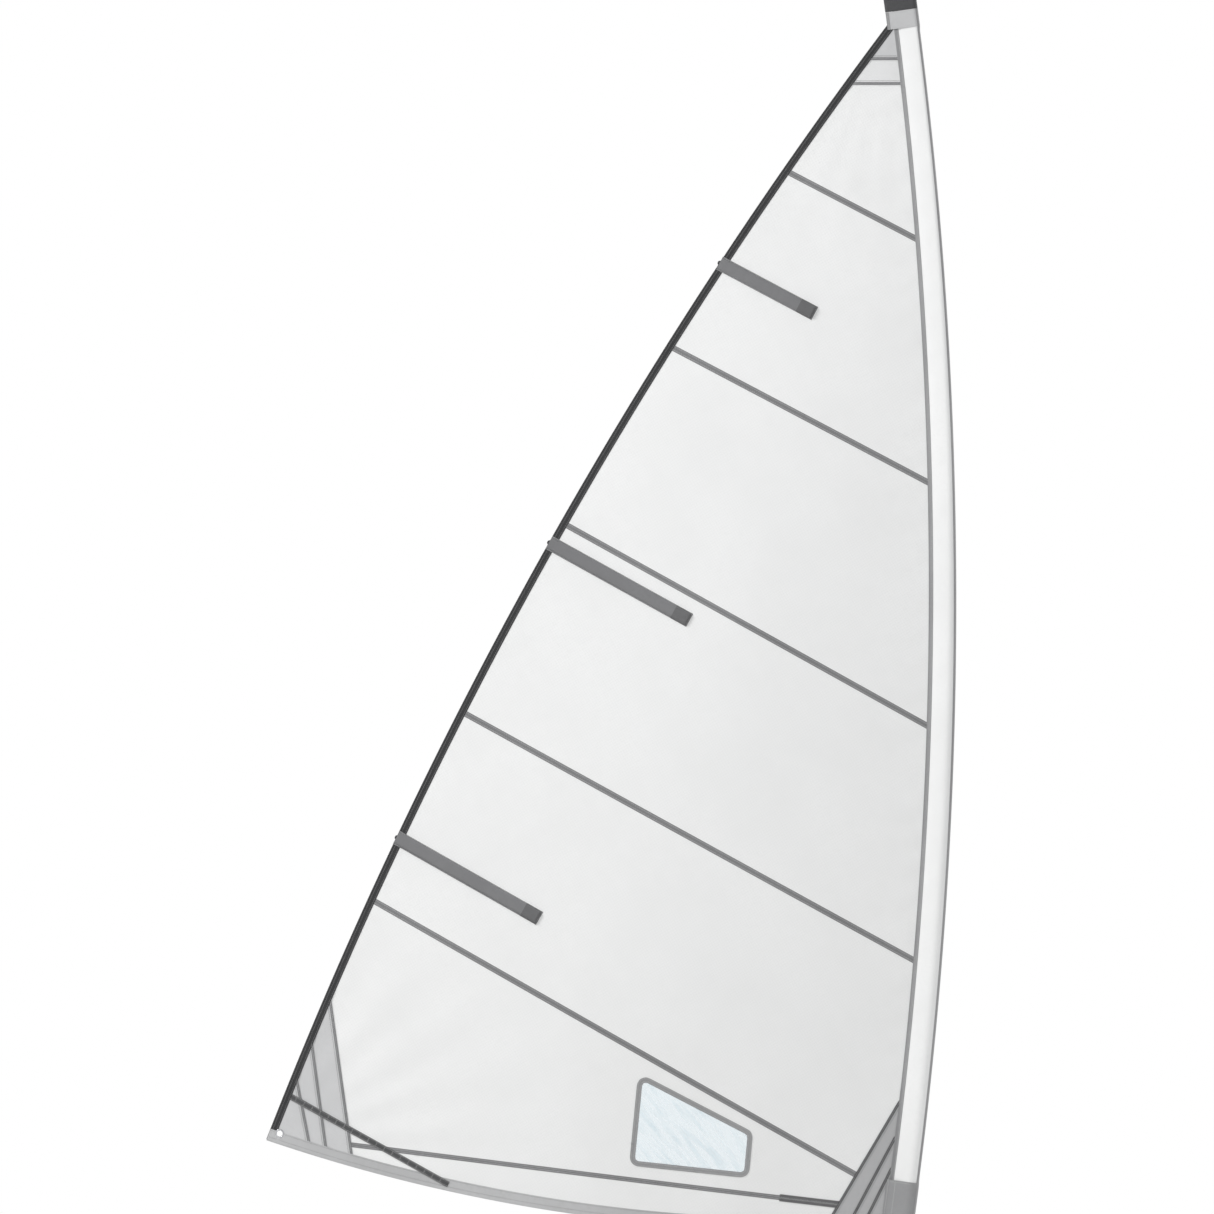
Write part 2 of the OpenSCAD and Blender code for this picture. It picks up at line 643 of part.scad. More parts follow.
// Children stand on the mast's axis at s, with Z up along the mast
module on_mast(s) {
    p = luff_at(s, mast_depth(s));
    translate([p.x, 0, p.y]) rotate([0, -luff_angle(s), 0]) children();
}
module mast_tip_plug() {
    bore = tip_d / 2 - mast_wall;
    color("black") on_mast(mast_length) {
        translate([0, 0, -40]) cylinder(r = bore - 0.8, h = 40.5);
        translate([0, 0, 0.5]) cylinder(r1 = tip_d / 2, r2 = tip_d / 2 - 3, h = 9);
    }
}

// ---- Mast foot: it plugs into the mast and carries the sheaves, cleat and lock ----
collar_t = 8;
collar_r = 36;
spigot_length = 120;
casting_bottom = -86;
slot_bottom = -74;
slot_h = 4.4;
cup_depth = 28;
sheave_r = 13;
sheave_w = 8.2;
sheave_bore = 3;
sheave_x = -19;
sheave_z = -27;
// Children stand on the mast's heel, with Z up along the mast
module at_heel() {
    translate([heel.x, 0, heel.y]) rotate([0, heel_lean, 0]) children();
}
module mast_foot_casting() {
    spigot_r = heel_d / 2 - mast_wall - 1.2;
    color("dimgray") at_heel() difference() {
        union() {
            cylinder(r = spigot_r, h = spigot_length);
            translate([0, 0, -collar_t - 0.5]) cylinder(r = collar_r, h = collar_t);
            translate([0, 0, casting_bottom]) cylinder(r = casting_r, h = -casting_bottom);
        }
        translate([0, 0, 12]) cylinder(r = spigot_r - 5, h = spigot_length);
        translate([sheave_x - 30, -10, sheave_z - sheave_r - 1])
            cube([30 + sheave_r + 1, 20, 2 * sheave_r + 2]);
        translate([sheave_x, 0, sheave_z]) along_y(sheave_bore + 0.02, -40, 40);
        translate([0, 0, casting_bottom - 1]) cylinder(r = stem_r + fit_gap, h = cup_depth + 1);
        translate([-11.2, -40, slot_bottom]) cube([22.4, 64, slot_h]);
        for (z = cleat_screw_z) translate([10, 0, z]) rotate([0, 90, 0]) cylinder(r = 1.7, h = 30);
    }
}
module sheave(y0) {
    color("white") at_heel() translate([sheave_x, y0 + sheave_w, sheave_z]) rotate([90, 0, 0])
        rotate_extrude() polygon([
            [sheave_bore + fit_gap, 0], [sheave_r, 0], [sheave_r, 1], [sheave_r - 4, 3],
            [sheave_r - 4, sheave_w - 3], [sheave_r, sheave_w - 1], [sheave_r, sheave_w],
            [sheave_bore + fit_gap, sheave_w]]);
}
module sheave_left() { sheave(0.4); }
module sheave_right() { sheave(-0.4 - sheave_w); }
module sheave_axle() {
    color("silver") at_heel() translate([sheave_x, 0, sheave_z]) along_y(sheave_bore, -17, 17);
}
// A jammer with two toothed walls, on the front of the casting
cleat_h = 46;
cleat_z = -60;
cleat_w = 20;
cleat_screw_z = [cleat_z + 7, cleat_z + cleat_h - 7];
module downhaul_cleat() {
    teeth = 7;
    color("darkslategray") at_heel() translate([casting_r - 2, 0, cleat_z]) difference() {
        union() {
            translate([0, -cleat_w / 2, 0]) cube([5, cleat_w, cleat_h]);
            for (side = [-1, 1]) {
                translate([0, side * (cleat_w / 2 - 2) - 2, 0]) cube([16, 4, cleat_h]);
                for (i = [1 : teeth])
                    translate([4, side * 5.2, i * (cleat_h - 6) / teeth]) rotate([0, 90, 0])
                        cylinder(r = 2, h = 11, $fn = 4);
            }
        }
        translate([2 - casting_r, 0, -1]) cylinder(r = casting_r + 0.3, h = cleat_h + 2, $fn = 96);
        for (z = cleat_screw_z) translate([-5, 0, z - cleat_z]) rotate([0, 90, 0])
            cylinder(r = 1.8, h = 30);
    }
}
module cleat_screws() {
    color("silver") at_heel() for (z = cleat_screw_z) translate([0, 0, z]) rotate([0, 90, 0]) {
        translate([0, 0, 12]) cylinder(r = 1.6, h = casting_r - 8.5);
        translate([0, 0, casting_r + 3.2]) cylinder(r = 3.2, h = 2);
    }
}

// ---- Lock: a sprung plate whose hole catches the groove of the yoke's stem ----
plate_t = 4;
catch_r = stem_r + 0.3;
plate_z = slot_bottom + (slot_h - plate_t) / 2;
plate_end = 17;
module release_button() {
    color("red") at_heel() {
        difference() {
            translate([-11, -30, plate_z]) cube([22, plate_end + 30, plate_t]);
            translate([0, -button_travel, plate_z - 1]) cylinder(r = catch_r, h = plate_t + 2);
        }
        translate([-11, -34, plate_z - 4]) cube([22, 4, plate_t + 8]);
    }
}
module release_spring() {
    turns = 5;
    wire = 0.35;
    coil_r = 1.5;
    y0 = plate_end + 0.6;
    y1 = 23.4;
    n = turns * 12;
    sides = 6;
    rings = [for (i = [0 : n]) let (a = 360 * turns * i / n, y = lerp(y0, y1, i / n))
        [for (j = [0 : sides - 1]) let (b = 360 * j / sides, r = coil_r + wire * cos(b))
            [r * cos(a), y + wire * sin(b), r * sin(a)]]];
    k = n * sides;
    color("silver") at_heel() translate([0, 0, slot_bottom + slot_h / 2]) polyhedron(
        [for (r = rings) each r],
        concat(
            [for (i = [0 : n - 1]) for (j = [0 : sides - 1])
                let (a = i * sides + j, b = i * sides + (j + 1) % sides)
                each quad(a, b, b + sides, a + sides)],
            [for (j = [1 : sides - 2]) each [[0, j + 1, j], [k, k + j, k + j + 1]]]));
}

// ---- Universal joint ----
ear_t = 8.5;
ear_in = 15.5;
crown_h = 7.5;
crown_r = 24;
// Two ears that hold a pin along Y at height 0 and rise to the height top
module ears(top) {
    for (side = [-1, 1]) difference() {
        union() {
            along_y_at(side) cylinder(r = eye_r, h = ear_t);
            translate([-eye_r, side > 0 ? ear_in : -ear_in - ear_t, min(0, top)])
                cube([2 * eye_r, ear_t, abs(top)]);
        }
        along_y(pin_r + 0.02, -60, 60);
    }
}
module along_y_at(side) {
    translate([0, side > 0 ? ear_in + ear_t : -ear_in, 0]) rotate([90, 0, 0]) children();
}
module pin() {
    along_y(pin_r, -ear_in - ear_t - 1, ear_in + ear_t + 4);
    along_y(pin_r + 3, -ear_in - ear_t - 4, -ear_in - ear_t - 0.3);
}
module pin_clip() {
    difference() {
        along_y(pin_r + 3, ear_in + ear_t + 0.3, ear_in + ear_t + 2);
        along_y(pin_r + 0.02, ear_in, ear_in + ear_t + 10);
    }
}
module at_upper_pivot() {
    translate([0, 0, upper_pivot_z]) rotate([0, heel_lean, 0]) children();
}
module at_lower_pivot() {
    translate([0, 0, lower_pivot_z]) rotate([0, 0, 90]) children();
}
module upper_yoke() {
    crown_z = foot_drop + casting_bottom - 0.5 - crown_h;
    groove_z = foot_drop + slot_bottom - 0.3;
    color("dimgray") at_upper_pivot() difference() {
        union() {
            ears(crown_z + 1);
            translate([0, 0, crown_z]) cylinder(r = crown_r, h = crown_h);
            translate([0, 0, crown_z]) cylinder(r = stem_r, h = crown_h + cup_depth - 1);
        }
        translate([0, 0, groove_z]) difference() {
            cylinder(r = 2 * stem_r, h = slot_h + 0.6);
            translate([0, 0, -1]) cylinder(r = stem_r - 2, h = slot_h + 3);
        }
    }
}
module upper_pin() { color("silver") at_upper_pivot() pin(); }
module upper_pin_clip() { color("silver") at_upper_pivot() pin_clip(); }
module universal_link() {
    half = ear_in - 0.5;
    color("black") difference() {
        union() {
            translate([0, 0, upper_pivot_z]) along_y(eye_r, -half, half);
            translate([0, 0, lower_pivot_z]) rotate([0, 0, 90]) along_y(eye_r, -half, half);
            translate([0, 0, lower_pivot_z]) cylinder(r = eye_r - 2, h = link_span);
        }
        translate([0, 0, upper_pivot_z]) along_y(pin_r + fit_gap, -40, 40);
        translate([0, 0, lower_pivot_z]) rotate([0, 0, 90]) along_y(pin_r + fit_gap, -40, 40);
    }
}

// ---- Deck base: the lower yoke turns on the hub of the deck plate ----
pad_t = 3;
deck_t = 8;
hub_r = 10;
hub_top = 20;
base_bottom = pad_t + deck_t + 0.3;
base_top = hub_top - 0.7;
washer_t = 2;
module lower_yoke() {
    color("dimgray") difference() {
        union() {
            at_lower_pivot() ears(base_top - 1 - lower_pivot_z);
            translate([0, 0, base_bottom]) cylinder(r = crown_r, h = base_top - base_bottom);
        }
        translate([0, 0, base_bottom - 1]) cylinder(r = hub_r + fit_gap, h = 20);
    }
}
module lower_pin() { color("silver") at_lower_pivot() pin(); }
module lower_pin_clip() { color("silver") at_lower_pivot() pin_clip(); }
module deck_plate() {
    color("black") difference() {
        union() {
            translate([0, 0, pad_t]) cylinder(r = plate_r - 3, h = deck_t);
            translate([0, 0, pad_t]) cylinder(r = plate_r, h = deck_t - 3);
            translate([0, 0, pad_t]) cylinder(r = hub_r, h = hub_top - pad_t);
        }
        cylinder(r = stud_r + 0.1, h = 60);
    }
}
module deck_pad() {
    color("gray") difference() {
        cylinder(r = plate_r - 1, h = pad_t);
        translate([0, 0, -1]) cylinder(r = stud_r + 0.5, h = pad_t + 2);
    }
}
module swivel_washer() {
    color("silver") translate([0, 0, hub_top]) difference() {
        cylinder(r = hub_r + 4, h = washer_t);
        translate([0, 0, -1]) cylinder(r = stud_r + 0.1, h = washer_t + 2);
    }
}
module deck_stud() {
    head_z = hub_top + washer_t;
    color("silver") {
        translate([0, 0, -stud_drop]) cylinder(r = stud_r, h = stud_drop + head_z + 1);
        translate([0, 0, head_z]) cylinder(r = 7.2, h = 5.4, $fn = 6);
    }
}
module track_nut() {
    nut = 24;
    color("goldenrod") translate([0, 0, -stud_drop + 1]) difference() {
        translate([-nut / 2, -nut / 2, 0]) cube([nut, nut, 6]);
        translate([0, 0, -1]) cylinder(r = stud_r + 0.02, h = 10);
    }
}

head_panel();
upper_panel();
upper_middle_panel();
lower_middle_panel();
lower_panel();
window_panel();
foot_panel();
window_film();
window_tape();
luff_sleeve();
sleeve_head_reinforcement();
sleeve_foot_reinforcement();
head_cap();
leech_tape();
foot_tape();
head_patch_large();
head_patch_small();
clew_patch_large();
clew_patch_middle();
clew_patch_small();
tack_patch_large();
tack_patch_middle();
tack_patch_small();
clew_strap();
top_batten_pocket();
middle_batten_pocket();
bottom_batten_pocket();
top_batten();
middle_batten();
bottom_batten();
top_batten_cap();
middle_batten_cap();
bottom_batten_cap();
clew_grommet();
tack_grommet();
mast_bottom_section();
mast_top_section();
mast_ferrule();
mast_tip_plug();
mast_foot_casting();
downhaul_cleat();
cleat_screws();
sheave_left();
sheave_right();
sheave_axle();
upper_yoke();
upper_pin();
upper_pin_clip();
release_button();
release_spring();
universal_link();
lower_yoke();
lower_pin();
lower_pin_clip();
deck_plate();
deck_pad();
swivel_washer();
deck_stud();
track_nut();
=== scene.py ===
"""Windsurf sail rig: its looks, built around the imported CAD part.

Metres, in the part's own frame: the origin is under the deck plate, the sail lies aft of the
mast towards -X, and its belly fills towards -Y. That face is called the near face. A point of
the sail is given by (x, z) in its plane and a lift, its height off the near face.
"""

import json
import math

import bmesh
import bpy
import numpy as np
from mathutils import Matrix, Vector
from mathutils.geometry import delaunay_2d_cdt

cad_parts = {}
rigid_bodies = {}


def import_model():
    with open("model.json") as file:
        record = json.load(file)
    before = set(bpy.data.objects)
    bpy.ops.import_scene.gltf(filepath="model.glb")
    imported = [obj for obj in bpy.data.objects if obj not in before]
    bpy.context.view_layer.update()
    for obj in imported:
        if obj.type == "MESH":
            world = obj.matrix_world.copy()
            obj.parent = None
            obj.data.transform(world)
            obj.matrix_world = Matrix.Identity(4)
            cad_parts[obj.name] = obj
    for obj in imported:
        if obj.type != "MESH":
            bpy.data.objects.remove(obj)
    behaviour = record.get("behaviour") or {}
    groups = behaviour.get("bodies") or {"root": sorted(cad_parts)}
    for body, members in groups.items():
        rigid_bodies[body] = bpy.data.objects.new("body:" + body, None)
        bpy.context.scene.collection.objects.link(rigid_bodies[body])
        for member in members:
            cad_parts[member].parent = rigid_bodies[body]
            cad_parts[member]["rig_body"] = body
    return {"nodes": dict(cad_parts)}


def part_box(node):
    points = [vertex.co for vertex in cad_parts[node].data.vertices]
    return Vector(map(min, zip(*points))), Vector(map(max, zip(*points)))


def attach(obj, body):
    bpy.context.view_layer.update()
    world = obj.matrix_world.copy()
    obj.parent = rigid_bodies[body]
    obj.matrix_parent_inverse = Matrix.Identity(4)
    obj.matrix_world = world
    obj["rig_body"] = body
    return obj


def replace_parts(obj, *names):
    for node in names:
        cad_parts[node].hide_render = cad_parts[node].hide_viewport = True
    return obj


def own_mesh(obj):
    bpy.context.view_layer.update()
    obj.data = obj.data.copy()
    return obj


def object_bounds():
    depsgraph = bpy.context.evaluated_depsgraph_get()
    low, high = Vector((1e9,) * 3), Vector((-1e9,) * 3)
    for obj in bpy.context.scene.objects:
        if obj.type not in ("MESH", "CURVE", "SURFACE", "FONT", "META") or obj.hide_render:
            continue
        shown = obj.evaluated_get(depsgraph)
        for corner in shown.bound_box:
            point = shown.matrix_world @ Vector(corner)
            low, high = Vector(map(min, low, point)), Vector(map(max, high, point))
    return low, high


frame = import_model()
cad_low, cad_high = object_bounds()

MM = 0.001

# ---- Camera, lights and floor ----
VIEW_WIDTH = 4.492
VIEW_CENTRE = (-1.0815, 2.508)
LENS_MM = 500
SENSOR_MM = 36
FLOOR_RADIUS = 5.4
WORLD_LIGHT = 0.62
LIGHT_AIM = (-1.0, 0.0, 2.3)

# ---- Mast and sleeve, as in the CAD part ----
MAST_LENGTH = 4.6
BOTTOM_LENGTH = 2.3
HEEL_R = 0.029
TIP_R = 0.013
MAST_WALL = 0.004
LUFF_R = 16.7
HEEL_LEAN = math.radians(8)
HEEL = np.array([0.0171183, 0.2078030])
FRONT_GAP = 0.0022
SLEEVE_FOOT_W = 0.103
SLEEVE_HEAD_W = 0.088
SLEEVE_END_W = 0.118
SLEEVE_FOOT_S = 0.032
FOOT_BLOCK_S = 0.174
HEAD_BLOCK_S = 4.468
CAP_S = 4.534

# ---- Sail outline, as in the CAD part ----
CLEW = np.array([-2.343, 0.536])
HEAD = np.array([-0.053, 4.650])
TACK = np.array([0.032, 0.211])
LEECH_R = 17.32
FOOT_R = 6.38
FANS = ((CLEW, 23, 1.1, 2.4), (TACK, 19, 0.7, 1.8), (HEAD, 31, 0.9, 1.0))  # folds, span, depth in mm
BELLY_R = 7.5
STRAIGHT_FROM = 0.62
CHORD_RISE = 29
FOOT_SEAM = (0.059, 7)
SEAMS = {
    "window": (0.122, 29.6),
    "lower": (0.994, 28.8),
    "middle": (1.868, 29.1),
    "upper": (2.774, 27.8),
    "head": (3.682, 27.6),
}
HEAD_TOP_Z = 4.647
LEECH_TAPE_W = 0.028
FOOT_TAPE_W = 0.045
CLEW_EYE = (np.array([-2.29225, 0.559667]), 0.011)
TACK_EYE = (np.array([-0.094, 0.246]), 0.009)
EYE_MARGIN = 0.0025
POCKETS = {
    "top": (np.array([-0.321, 3.598]), 28),
    "middle": (np.array([-0.784, 2.463]), 29),
    "bottom": (np.array([-1.339, 1.361]), 29.5),
}
POCKET_W = 0.054
WINDOW = [(-0.951, 0.760), (-0.561, 0.557), (-0.574, 0.417), (-0.980, 0.461)]
WINDOW_CORNER_R = 0.014
WINDOW_TAPE_W = 0.018
STRAP = np.array([(-2.250, 0.696), (-1.668, 0.373)])
STRAP_W = 0.022
CLEW_PATCHES = {"large": (0.520, 0.290), "middle": (0.345, 0.190), "small": (0.200, 0.125)}
TACK_PATCHES = {"large": (0.450, 0.210), "middle": (0.320, 0.130), "small": (0.205, 0.075)}
HEAD_PATCHES = {"large": 4.440, "small": 4.532}

# ---- Thicknesses and how the cloth is sewn ----
CLOTH_T = 0.5 * MM
TAPE_T = 0.9 * MM
TAPE_LIFT = 0.75 * MM
PATCH_PITCH = 1.8 * MM
PATCH_T = 1.5 * MM
SLEEVE_T = 1.0 * MM
BLOCK_T = 1.2 * MM
NOSE_DEPTH = 0.009
LIP_LIFT = 1.3 * MM
SEAM_W = 0.022
FOOT_DOUBLER = 0.40
DOUBLER_W = 0.026
PATCH_EDGE_W = 0.010
PATCH_SEWN_IN = 0.015
WINDOW_LAP = 0.009
WINDOW_SEWN = (0.004, 0.014)
STRAP_SEWN = 8 * MM
STRAP_BAR_PITCH = 0.034
POCKET_SEWN = 25.3 * MM
BLOCK_HEM = 0.006
POCKET_END = 0.062
TUCK = 0.012
EDGE_IN = 0.004
STEP_RAMP = 0.030
OVERLAP = 1.0 * MM
OVERLAP_RAMP = 8 * MM
POKE = 0.25 * MM
CLOTH_STEP = 0.015
STITCH_PITCH = 0.008
STITCH_W = 0.005
THREAD_R = 0.55 * MM
STRIP_COLUMNS = 5
FLANK_POINTS = 10


# ======================= small helpers =======================
def unit(v):
    return v / np.linalg.norm(v, axis=-1, keepdims=True)


def left(v):
    """Plane directions turned a quarter turn to their left."""
    return np.stack([-v[..., 1], v[..., 0]], -1)


def smooth(t):
    t = np.clip(t, 0, 1)
    return t * t * (3 - 2 * t)


def resampled(line, step):
    """The line again, with points about step apart, both ends kept."""
    line = np.asarray(line, float)
    along = np.concatenate([[0], np.cumsum(np.linalg.norm(np.diff(line, axis=0), axis=1))])
    at = np.linspace(0, along[-1], max(2, round(along[-1] / step) + 1))
    return np.stack([np.interp(at, along, line[:, k]) for k in range(line.shape[1])], 1)


def inside(points, loop):
    """Which of the points lie inside a closed loop."""
    x, z = points[:, 0], points[:, 1]
    found = np.zeros(len(points), bool)
    for (x0, z0), (x1, z1) in zip(loop, np.roll(loop, -1, 0)):
        crosses = (z0 > z) != (z1 > z)
        slope = (x1 - x0) / (z1 - z0 if z1 != z0 else 1)
        found ^= crosses & (x < x0 + (z - z0) * slope)
    return found


def around(count):
    """That many angles, evenly round a circle."""
    return np.arange(count) * 2 * math.pi / count


def circle(centre, radius, count=40):
    a = around(count)
    return np.asarray(centre) + radius * np.stack([np.cos(a), np.sin(a)], 1)


def closed(loop):
    return np.concatenate([loop, loop[:1]])


# ======================= the sail's plane and surface =======================
def heading(degrees):
    """Unit direction in the plane that runs aft and rises by that many degrees."""
    a = math.radians(degrees)
    return np.array([-math.cos(a), math.sin(a)])


def luff_out(s):
    a = np.asarray(s, float) / LUFF_R - HEEL_LEAN
    return np.stack([np.cos(a), np.sin(a)], -1)


LUFF_C = HEEL - (LUFF_R - FRONT_GAP - HEEL_R) * luff_out(0)


def luff_at(s, depth):
    """Point at luff height s, that depth behind the sleeve's front."""
    return LUFF_C + (LUFF_R - np.asarray(depth, float))[..., None] * luff_out(s)


def luff_s(p):
    m = p - LUFF_C
    return (np.arctan2(m[..., 1], m[..., 0]) + HEEL_LEAN) * LUFF_R


def sleeve_w(s):
    return SLEEVE_FOOT_W + (SLEEVE_HEAD_W - SLEEVE_FOOT_W) * s / MAST_LENGTH


def mast_r(s):
    taper_from = MAST_LENGTH / 4
    share = np.clip((s - taper_from) / (MAST_LENGTH - taper_from), 0, None)
    return HEEL_R - (HEEL_R - TIP_R) * share


def mast_depth(s):
    return FRONT_GAP + mast_r(s)


class Arc:
    """The outline arc from p to q, which bulges to the left of that direction."""

    def __init__(self, p, q, radius):
        self.radius = radius
        self.span = np.linalg.norm(q - p)
        self.d = (q - p) / self.span
        self.side = left(self.d)
        self.half = math.asin(self.span / 2 / radius)
        self.centre = (p + q) / 2 - self.side * radius * math.cos(self.half)

    def at(self, t, inset):
        a = (2 * np.asarray(t, float) - 1) * self.half
        out = np.sin(a)[..., None] * self.d + np.cos(a)[..., None] * self.side
        return self.centre + (self.radius - np.asarray(inset, float))[..., None] * out

    def t_of(self, p):
        m = p - self.centre
        return (np.arcsin((m @ self.d) / np.linalg.norm(m, axis=-1)) / self.half + 1) / 2

    def inset_of(self, p):
        return self.radius - np.linalg.norm(p - self.centre, axis=-1)


leech = Arc(CLEW, HEAD, LEECH_R)
foot = Arc(TACK, CLEW, FOOT_R)  # its t runs from the tack to the clew


def reach(p, direction, centre, radius):
    """Distance from p along a unit direction to the circle about the centre."""
    m = p - centre
    b = m @ direction
    return np.sqrt(np.maximum(b * b - (m * m).sum(-1) + radius * radius, 0)) - b


BELLY_AT = STRAIGHT_FROM * (2 - STRAIGHT_FROM) / 2


def belly(u):
    deep = 1 - ((u - BELLY_AT) / BELLY_AT) ** 2
    straight = 2 * (STRAIGHT_FROM - BELLY_AT) / BELLY_AT**2 * (1 - u)
    return np.where(u < STRAIGHT_FROM, deep, straight)


def chord_of(p):
    """Distances along the seams' direction: forward to the sleeve and aft to the leech."""
    rise = heading(CHORD_RISE)
    ahead = reach(p, -rise, LUFF_C, LUFF_R - sleeve_w(luff_s(p)))
    return ahead, reach(p, rise, leech.centre, LEECH_R)


def calm(p):
    """0 beside an eye or a batten, which hold the cloth flat, and 1 away from them."""
    share = np.ones(p.shape[:-1])
    for centre, radius in (CLEW_EYE, TACK_EYE):
        share *= smooth((np.linalg.norm(p - centre, axis=-1) - 2.5 * radius) / 0.10)
    for start, degrees in POCKETS.values():
        along = (p - start) @ heading(degrees)
        across = (p - start) @ left(heading(degrees))
        away = np.hypot(np.maximum(-along, 0), np.abs(across))
        share *= smooth((away - POCKET_W / 2) / 0.08)
    return share


def creases(p):
    """The small relief of tight cloth: fans from the corners, puckers at the sleeve, swells."""
    ahead, behind = chord_of(p)
    x, z = p[..., 0], p[..., 1]
    height = 0.9 * np.sin(2.1 * x + 3.7 * z) * np.sin(4.3 * x - 1.9 * z + 1.0)
    for corner, folds, span, size in FANS:
        m = p - corner
        far = np.linalg.norm(m, axis=-1)
        turn = np.arctan2(m[..., 1], m[..., 0])
        fan = np.sin(folds * turn + 0.7 * np.sin(3 * turn)) * smooth((far - 0.15) / 0.45)
        height = height + size * fan * np.exp(-((far / span) ** 2) * 2)
    s = luff_s(p)
    pucker = np.sin(2 * math.pi * s / 0.13 + 1.3 * np.sin(9 * s)) * np.exp(-np.abs(ahead) / 0.07)
    flutter = np.sin(2 * math.pi * s / 0.42) * np.exp(-behind / 0.10)
    tamed = calm(p) * smooth((ahead - 0.012) / 0.04)
    return (height + 2.4 * pucker + 1.1 * flutter) * tamed * MM


def sail_y(p):
    ahead, behind = chord_of(p)
    chord = ahead + behind
    return -(chord**2) / 8 / BELLY_R * belly(ahead / chord) - creases(p)


def on_sail(p, lift):
    """Points of the part's frame for points of the sail's plane."""
    return np.stack([p[..., 0], sail_y(p) - lift, p[..., 1]], -1)


# ---- Lines across the sail ----
def luff_end(s, past=MM):
    return luff_at(s, sleeve_w(np.asarray(s, float)) + past)


def seam_line(s, degrees, tuck=TUCK, edge_in=EDGE_IN):
    """A seam's line from the sleeve to the leech."""
    direction = heading(degrees)
    start = luff_end(s)
    length = reach(start, direction, leech.centre, LEECH_R - edge_in)
    return np.array([start - direction * tuck, start + direction * length])


def leech_line(p, q):
    """Along the leech from beside p to beside q."""
    return leech.at(np.linspace(leech.t_of(p), leech.t_of(q), 40), EDGE_IN)


def foot_line(p, q):
    return foot.at(np.linspace(foot.t_of(p), foot.t_of(q), 60), EDGE_IN)


def luff_line(p, q, past=-TUCK):
    s = np.linspace(luff_s(p), luff_s(q), 40)
    return luff_at(s, sleeve_w(s) + past)


# ======================= meshes =======================
def add(thing):
    bpy.context.scene.collection.objects.link(thing)
    return thing


def shell_faces(faces, count):
    """Faces on both sides of a skin and the rim between them, and the skin's border edges."""
    size = faces.shape[1]
    directed = np.concatenate([faces[:, [i, (i + 1) % size]] for i in range(size)])
    forward = directed[:, 0] * count + directed[:, 1]
    backward = directed[:, 1] * count + directed[:, 0]
    border = directed[~np.isin(forward, backward)]
    rim = np.stack([border[:, 1], border[:, 0], border[:, 0] + count, border[:, 1] + count], 1)
    return faces.tolist() + (faces[:, ::-1] + count).tolist() + rim.tolist(), border


def new_piece(name, points, faces, look, sharp=None):
    mesh = bpy.data.meshes.new(name)
    mesh.from_pydata(np.asarray(points).tolist(), [], faces)
    mesh.polygons.foreach_set("use_smooth", np.ones(len(mesh.polygons), bool))
    if sharp is not None and len(sharp):
        edges = np.zeros(len(mesh.edges) * 2, np.int32)
        mesh.edges.foreach_get("vertices", edges)
        edges = np.sort(edges.reshape(-1, 2), 1).astype(np.int64)
        wanted = np.sort(sharp, 1).astype(np.int64)
        count = len(mesh.vertices)
        marks = np.isin(edges[:, 0] * count + edges[:, 1], wanted[:, 0] * count + wanted[:, 1])
        mesh.attributes.new("sharp_edge", "BOOLEAN", "EDGE").data.foreach_set("value", marks)
    material, usual_slot = LOOKS[look]
    mesh.materials.append(material)
    piece = add(bpy.data.objects.new(name, mesh))
    return piece


def shell_piece(name, outer, inner, faces, look):
    count = len(outer)
    closed, border = shell_faces(faces, count)
    sharp = np.concatenate([border, border + count]) if len(border) else None
    return new_piece(name, np.concatenate([outer, inner]), closed, look, sharp)


def facing(grid, face=1):
    """The grid with its columns in the order that makes its skin face near, or far for face -1."""
    turn = np.cross(grid[1, 0] - grid[0, 0], grid[0, 1] - grid[0, 0])[1] * face
    return grid[:, ::-1] if turn > 0 else grid


def grid_piece(name, points, thickness, look, wrap=False):
    """A sheet over a grid of points. It faces the side that its rows and columns turn to."""
    n, m = points.shape[:2]
    du = np.gradient(points, axis=0)
    if wrap:
        dv = np.roll(points, -1, 1) - np.roll(points, 1, 1)
    else:
        dv = np.gradient(points, axis=1)
    out = unit(np.cross(du, dv)) * thickness / 2
    i, j = np.meshgrid(np.arange(n - 1), np.arange(m if wrap else m - 1), indexing="ij")
    a = (i * m + j).ravel()
    b = (i * m + (j + 1) % m).ravel()
    faces = np.stack([a, a + m, b + m, b], 1)
    outer, inner = (points + out).reshape(-1, 3), (points - out).reshape(-1, 3)
    return shell_piece(name, outer, inner, faces, look)


